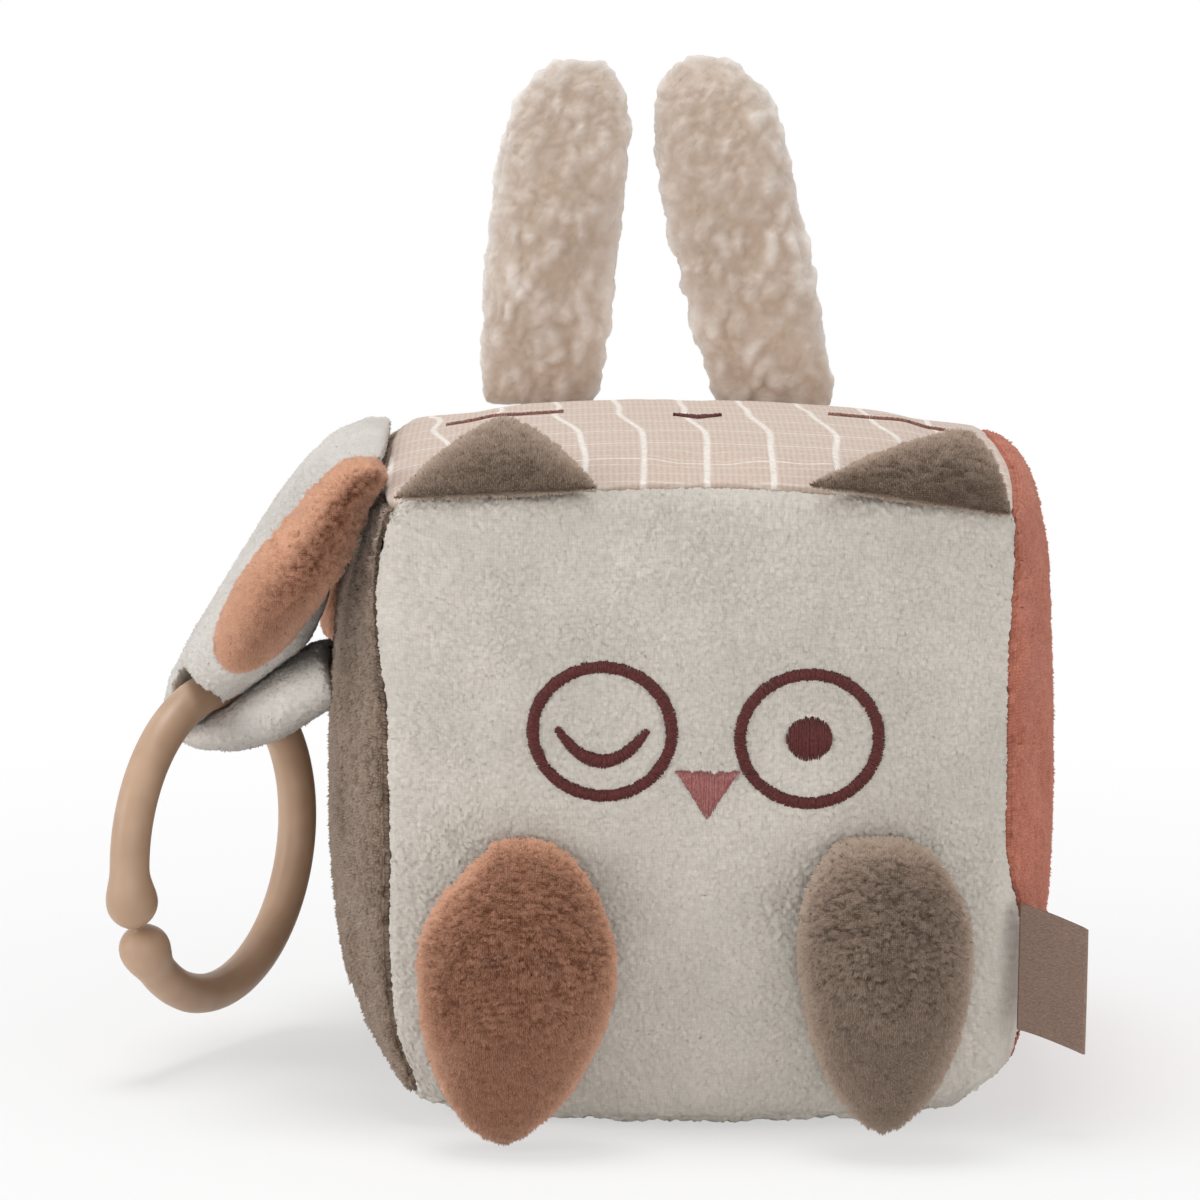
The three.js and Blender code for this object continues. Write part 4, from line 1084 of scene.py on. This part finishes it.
def ring_piece():
    radius = (RING_OUTER - RING_WIRE) / 2
    turn = math.radians(RING_TURN)
    sideways = np.array([math.cos(turn), math.sin(turn), 0])
    normal = np.array([math.sin(turn), -math.cos(turn), 0])
    upwards = np.array([0, 0, 1])
    bulb = RING_BULB / 2
    half_split = RING_SPLIT / 2 / radius
    length = 2 * (math.pi - half_split) * radius
    ends = bulb * (1 - np.cos(np.linspace(0.06, math.pi / 2, 12)))
    body = np.linspace(bulb, length - bulb, 240)[1:-1]
    place = np.concatenate([ends, body, length - ends[::-1]])
    from_end = np.minimum(place, length - place)
    cap = np.sqrt(np.maximum(bulb ** 2 - (bulb - from_end) ** 2, 0))
    waist = bulb + (RING_WIRE / 2 - bulb) * ramp(from_end, bulb, bulb + RING_BULB_REACH)
    thick = np.where(from_end < bulb, cap, waist)[:, None]
    angle = math.radians(RING_SPLIT_ANGLE) + half_split + place / radius
    sides = 36
    turns = full_turn(sides)
    mould_line = 0.1 * bump(0, 0.12, np.sin(turns))
    out = (thick + mould_line) * np.cos(turns)
    beside = (thick + mould_line) * np.sin(turns)
    radial = np.cos(angle)[:, None] * sideways + np.sin(angle)[:, None] * upwards
    grid = RING_CENTRE + radial[:, None] * (radius + out)[..., None] + normal * beside[..., None]
    rows = len(place)
    quads = grid_quads(rows, sides, wrap=True)
    fan = np.array([(0, k, k + 1) for k in range(1, sides - 1)])
    triangles = np.concatenate([halved(quads[:, [0, 3, 2, 1]]), fan, fan[:, ::-1] + (rows - 1) * sides])
    uv = grid_uv(rows, sides)[:, ::-1][triangles]
    add_piece("split_ring", grid.reshape(-1, 3), triangles, uv, RING_PLASTIC, "ring", "teething_ring")


ring_piece()


# The folded tape label, left bare

LABEL_LENGTH, LABEL_REACH, LABEL_DROOP = 28.0, 15.0, 5.6


def label_piece():
    low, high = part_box("label_tag")
    left, front, back, top = low.x / MM, low.y / MM, high.y / MM, high.z / MM
    middle, half = (front + back) / 2, (back - front) / 2
    rows, steps, bend = 120, 60, 9
    reach = LABEL_REACH - half
    out = np.concatenate([np.linspace(0, reach, steps), np.full(bend, reach), np.linspace(reach, 0, steps)])
    turn = np.concatenate([np.full(steps, -90), np.linspace(-80, 80, bend), np.full(steps, 90)])
    x = left + out + half * np.cos(np.radians(turn)) * (abs(turn) < 90)
    y = middle + half * np.sin(np.radians(turn))
    away = (x - left) / LABEL_REACH
    share = np.linspace(0, 1, rows)[:, None]
    ribs = 0.07 * np.cos(2 * math.pi * share * LABEL_LENGTH / 0.7) * np.sign(y - middle)
    curl = 0.5 * np.sin(math.pi * share) * away
    z = top - share * LABEL_LENGTH - LABEL_DROOP * away ** 1.2
    points = np.stack(np.broadcast_arrays(x + 0 * share, y + ribs - curl, z), -1).reshape(-1, 3)
    quads, uv = grid_quads(rows, len(x)), grid_uv(rows, len(x))
    label = add_piece("woven_label", points, quads, uv[quads], TAPE, "label", "label_tag")
    fold = label.modifiers.new("Thickness", "SOLIDIFY")
    fold.thickness = 0.35 * MM
    fold.offset = 0


label_piece()


# CAD nodes inside the cover, which keep their shapes

for material, *nodes in (
        (FOAM, "foam_core", "foam_plug"), (RATTLE_PLASTIC, "rattle_cup", "rattle_lid"),
        (RING_PLASTIC, "rattle_bead_1", "rattle_bead_2", "rattle_bead_3")):
    for node in nodes:
        paint(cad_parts[node], material)


# Camera, floor and light

CAMERA_PLACE = Vector((-33.46, -1277.79, 309.71)) * MM
CAMERA_AIM = Vector((-21.7, 0, 107.6)) * MM
CAMERA_ROLL = math.radians(0.83)
CAMERA_LENS = 168.6

camera_data = bpy.data.cameras.new("camera")
camera_data.lens = CAMERA_LENS
camera_data.clip_start, camera_data.clip_end = 0.05, 20
scene.camera = bpy.data.objects.new("camera", camera_data)
scene.collection.objects.link(scene.camera)
looking = (CAMERA_AIM - CAMERA_PLACE).to_track_quat("-Z", "Y").to_matrix().to_4x4()
scene.camera.matrix_world = Matrix.Translation(CAMERA_PLACE) @ looking @ Matrix.Rotation(CAMERA_ROLL, 4, "Z")

SEEN_RAYS = ("Is Camera Ray", "Is Glossy Ray", "Is Transmission Ray")


def seen_share(tree):
    """1 for the rays that show the background, and 0 for those that light the object."""
    first, second, third = (add_node(tree, "LightPath").outputs[ray] for ray in SEEN_RAYS)
    return math_node(tree, "MAXIMUM", math_node(tree, "MAXIMUM", first, second), third)


FLOOR_REACH = 6000.0
WORLD_LIGHT = 0.4


def add_floor():
    """A pale floor that takes a soft shadow near the object and fades to white."""
    corners = np.array([(x, y, 0) for x, y in ((-1, -1), (1, -1), (1, 1), (-1, 1))]) * FLOOR_REACH
    floor = new_object("floor", corners, np.array([[0, 1, 2, 3]]))
    material, tree, shader = new_material("floor", 0.9, 0.0, 0.0)
    shader.inputs["Base Color"].default_value = (0.94, 0.94, 0.94, 1)
    place = add_node(tree, "TexCoord").outputs["Object"]
    away = add_node(tree, "VectorMath", {0: place}, operation="LENGTH").outputs["Value"]
    factor = math_node(tree, "MULTIPLY", seen_share(tree), stretched_share(tree, away, 0.1, 0.42, 0.55, 1.0))
    white = add_node(tree, "Emission", {"Color": (1, 1, 1, 1), "Strength": 1.0})
    blend = add_node(tree, "MixShader", {0: factor, 1: shader.outputs[0], 2: white.outputs[0]})
    tree.links.new(blend.outputs[0], tree.nodes["Material Output"].inputs["Surface"])
    paint(floor, material)


def add_world():
    world = bpy.data.worlds.new("studio")
    scene.world = world
    world.use_nodes = True
    tree = world.node_tree
    background = tree.nodes["Background"]
    background.inputs["Color"].default_value = (1, 1, 1, 1)
    seen = stretched_share(tree, seen_share(tree), 0.0, 1.0, WORLD_LIGHT, 1.0)
    tree.links.new(seen, background.inputs["Strength"])


def add_light(name, place, aim_height, size, watts):
    """A round lamp, in metres, aimed at the object."""
    data = bpy.data.lights.new(name, "AREA")
    data.shape = "DISK"
    data.size = size
    data.energy = watts
    lamp = bpy.data.objects.new(name, data)
    scene.collection.objects.link(lamp)
    lamp.location = place
    aim = Vector((0, 0, aim_height)) - Vector(place)
    lamp.rotation_euler = aim.to_track_quat("-Z", "Y").to_euler()


add_floor()
add_world()
for lamp_settings in (
        ("left", (-1.8, -0.7, 0.5), 0.07, 1.5, 15), ("right", (1.7, -0.9, 0.5), 0.07, 1.5, 9),
        ("top", (-0.2, 0.05, 1.95), 0, 0.8, 16), ("front", (0.0, -2.2, 0.12), 0.02, 1.0, 11)):
    add_light(*lamp_settings)

scene.view_settings.view_transform = "Standard"
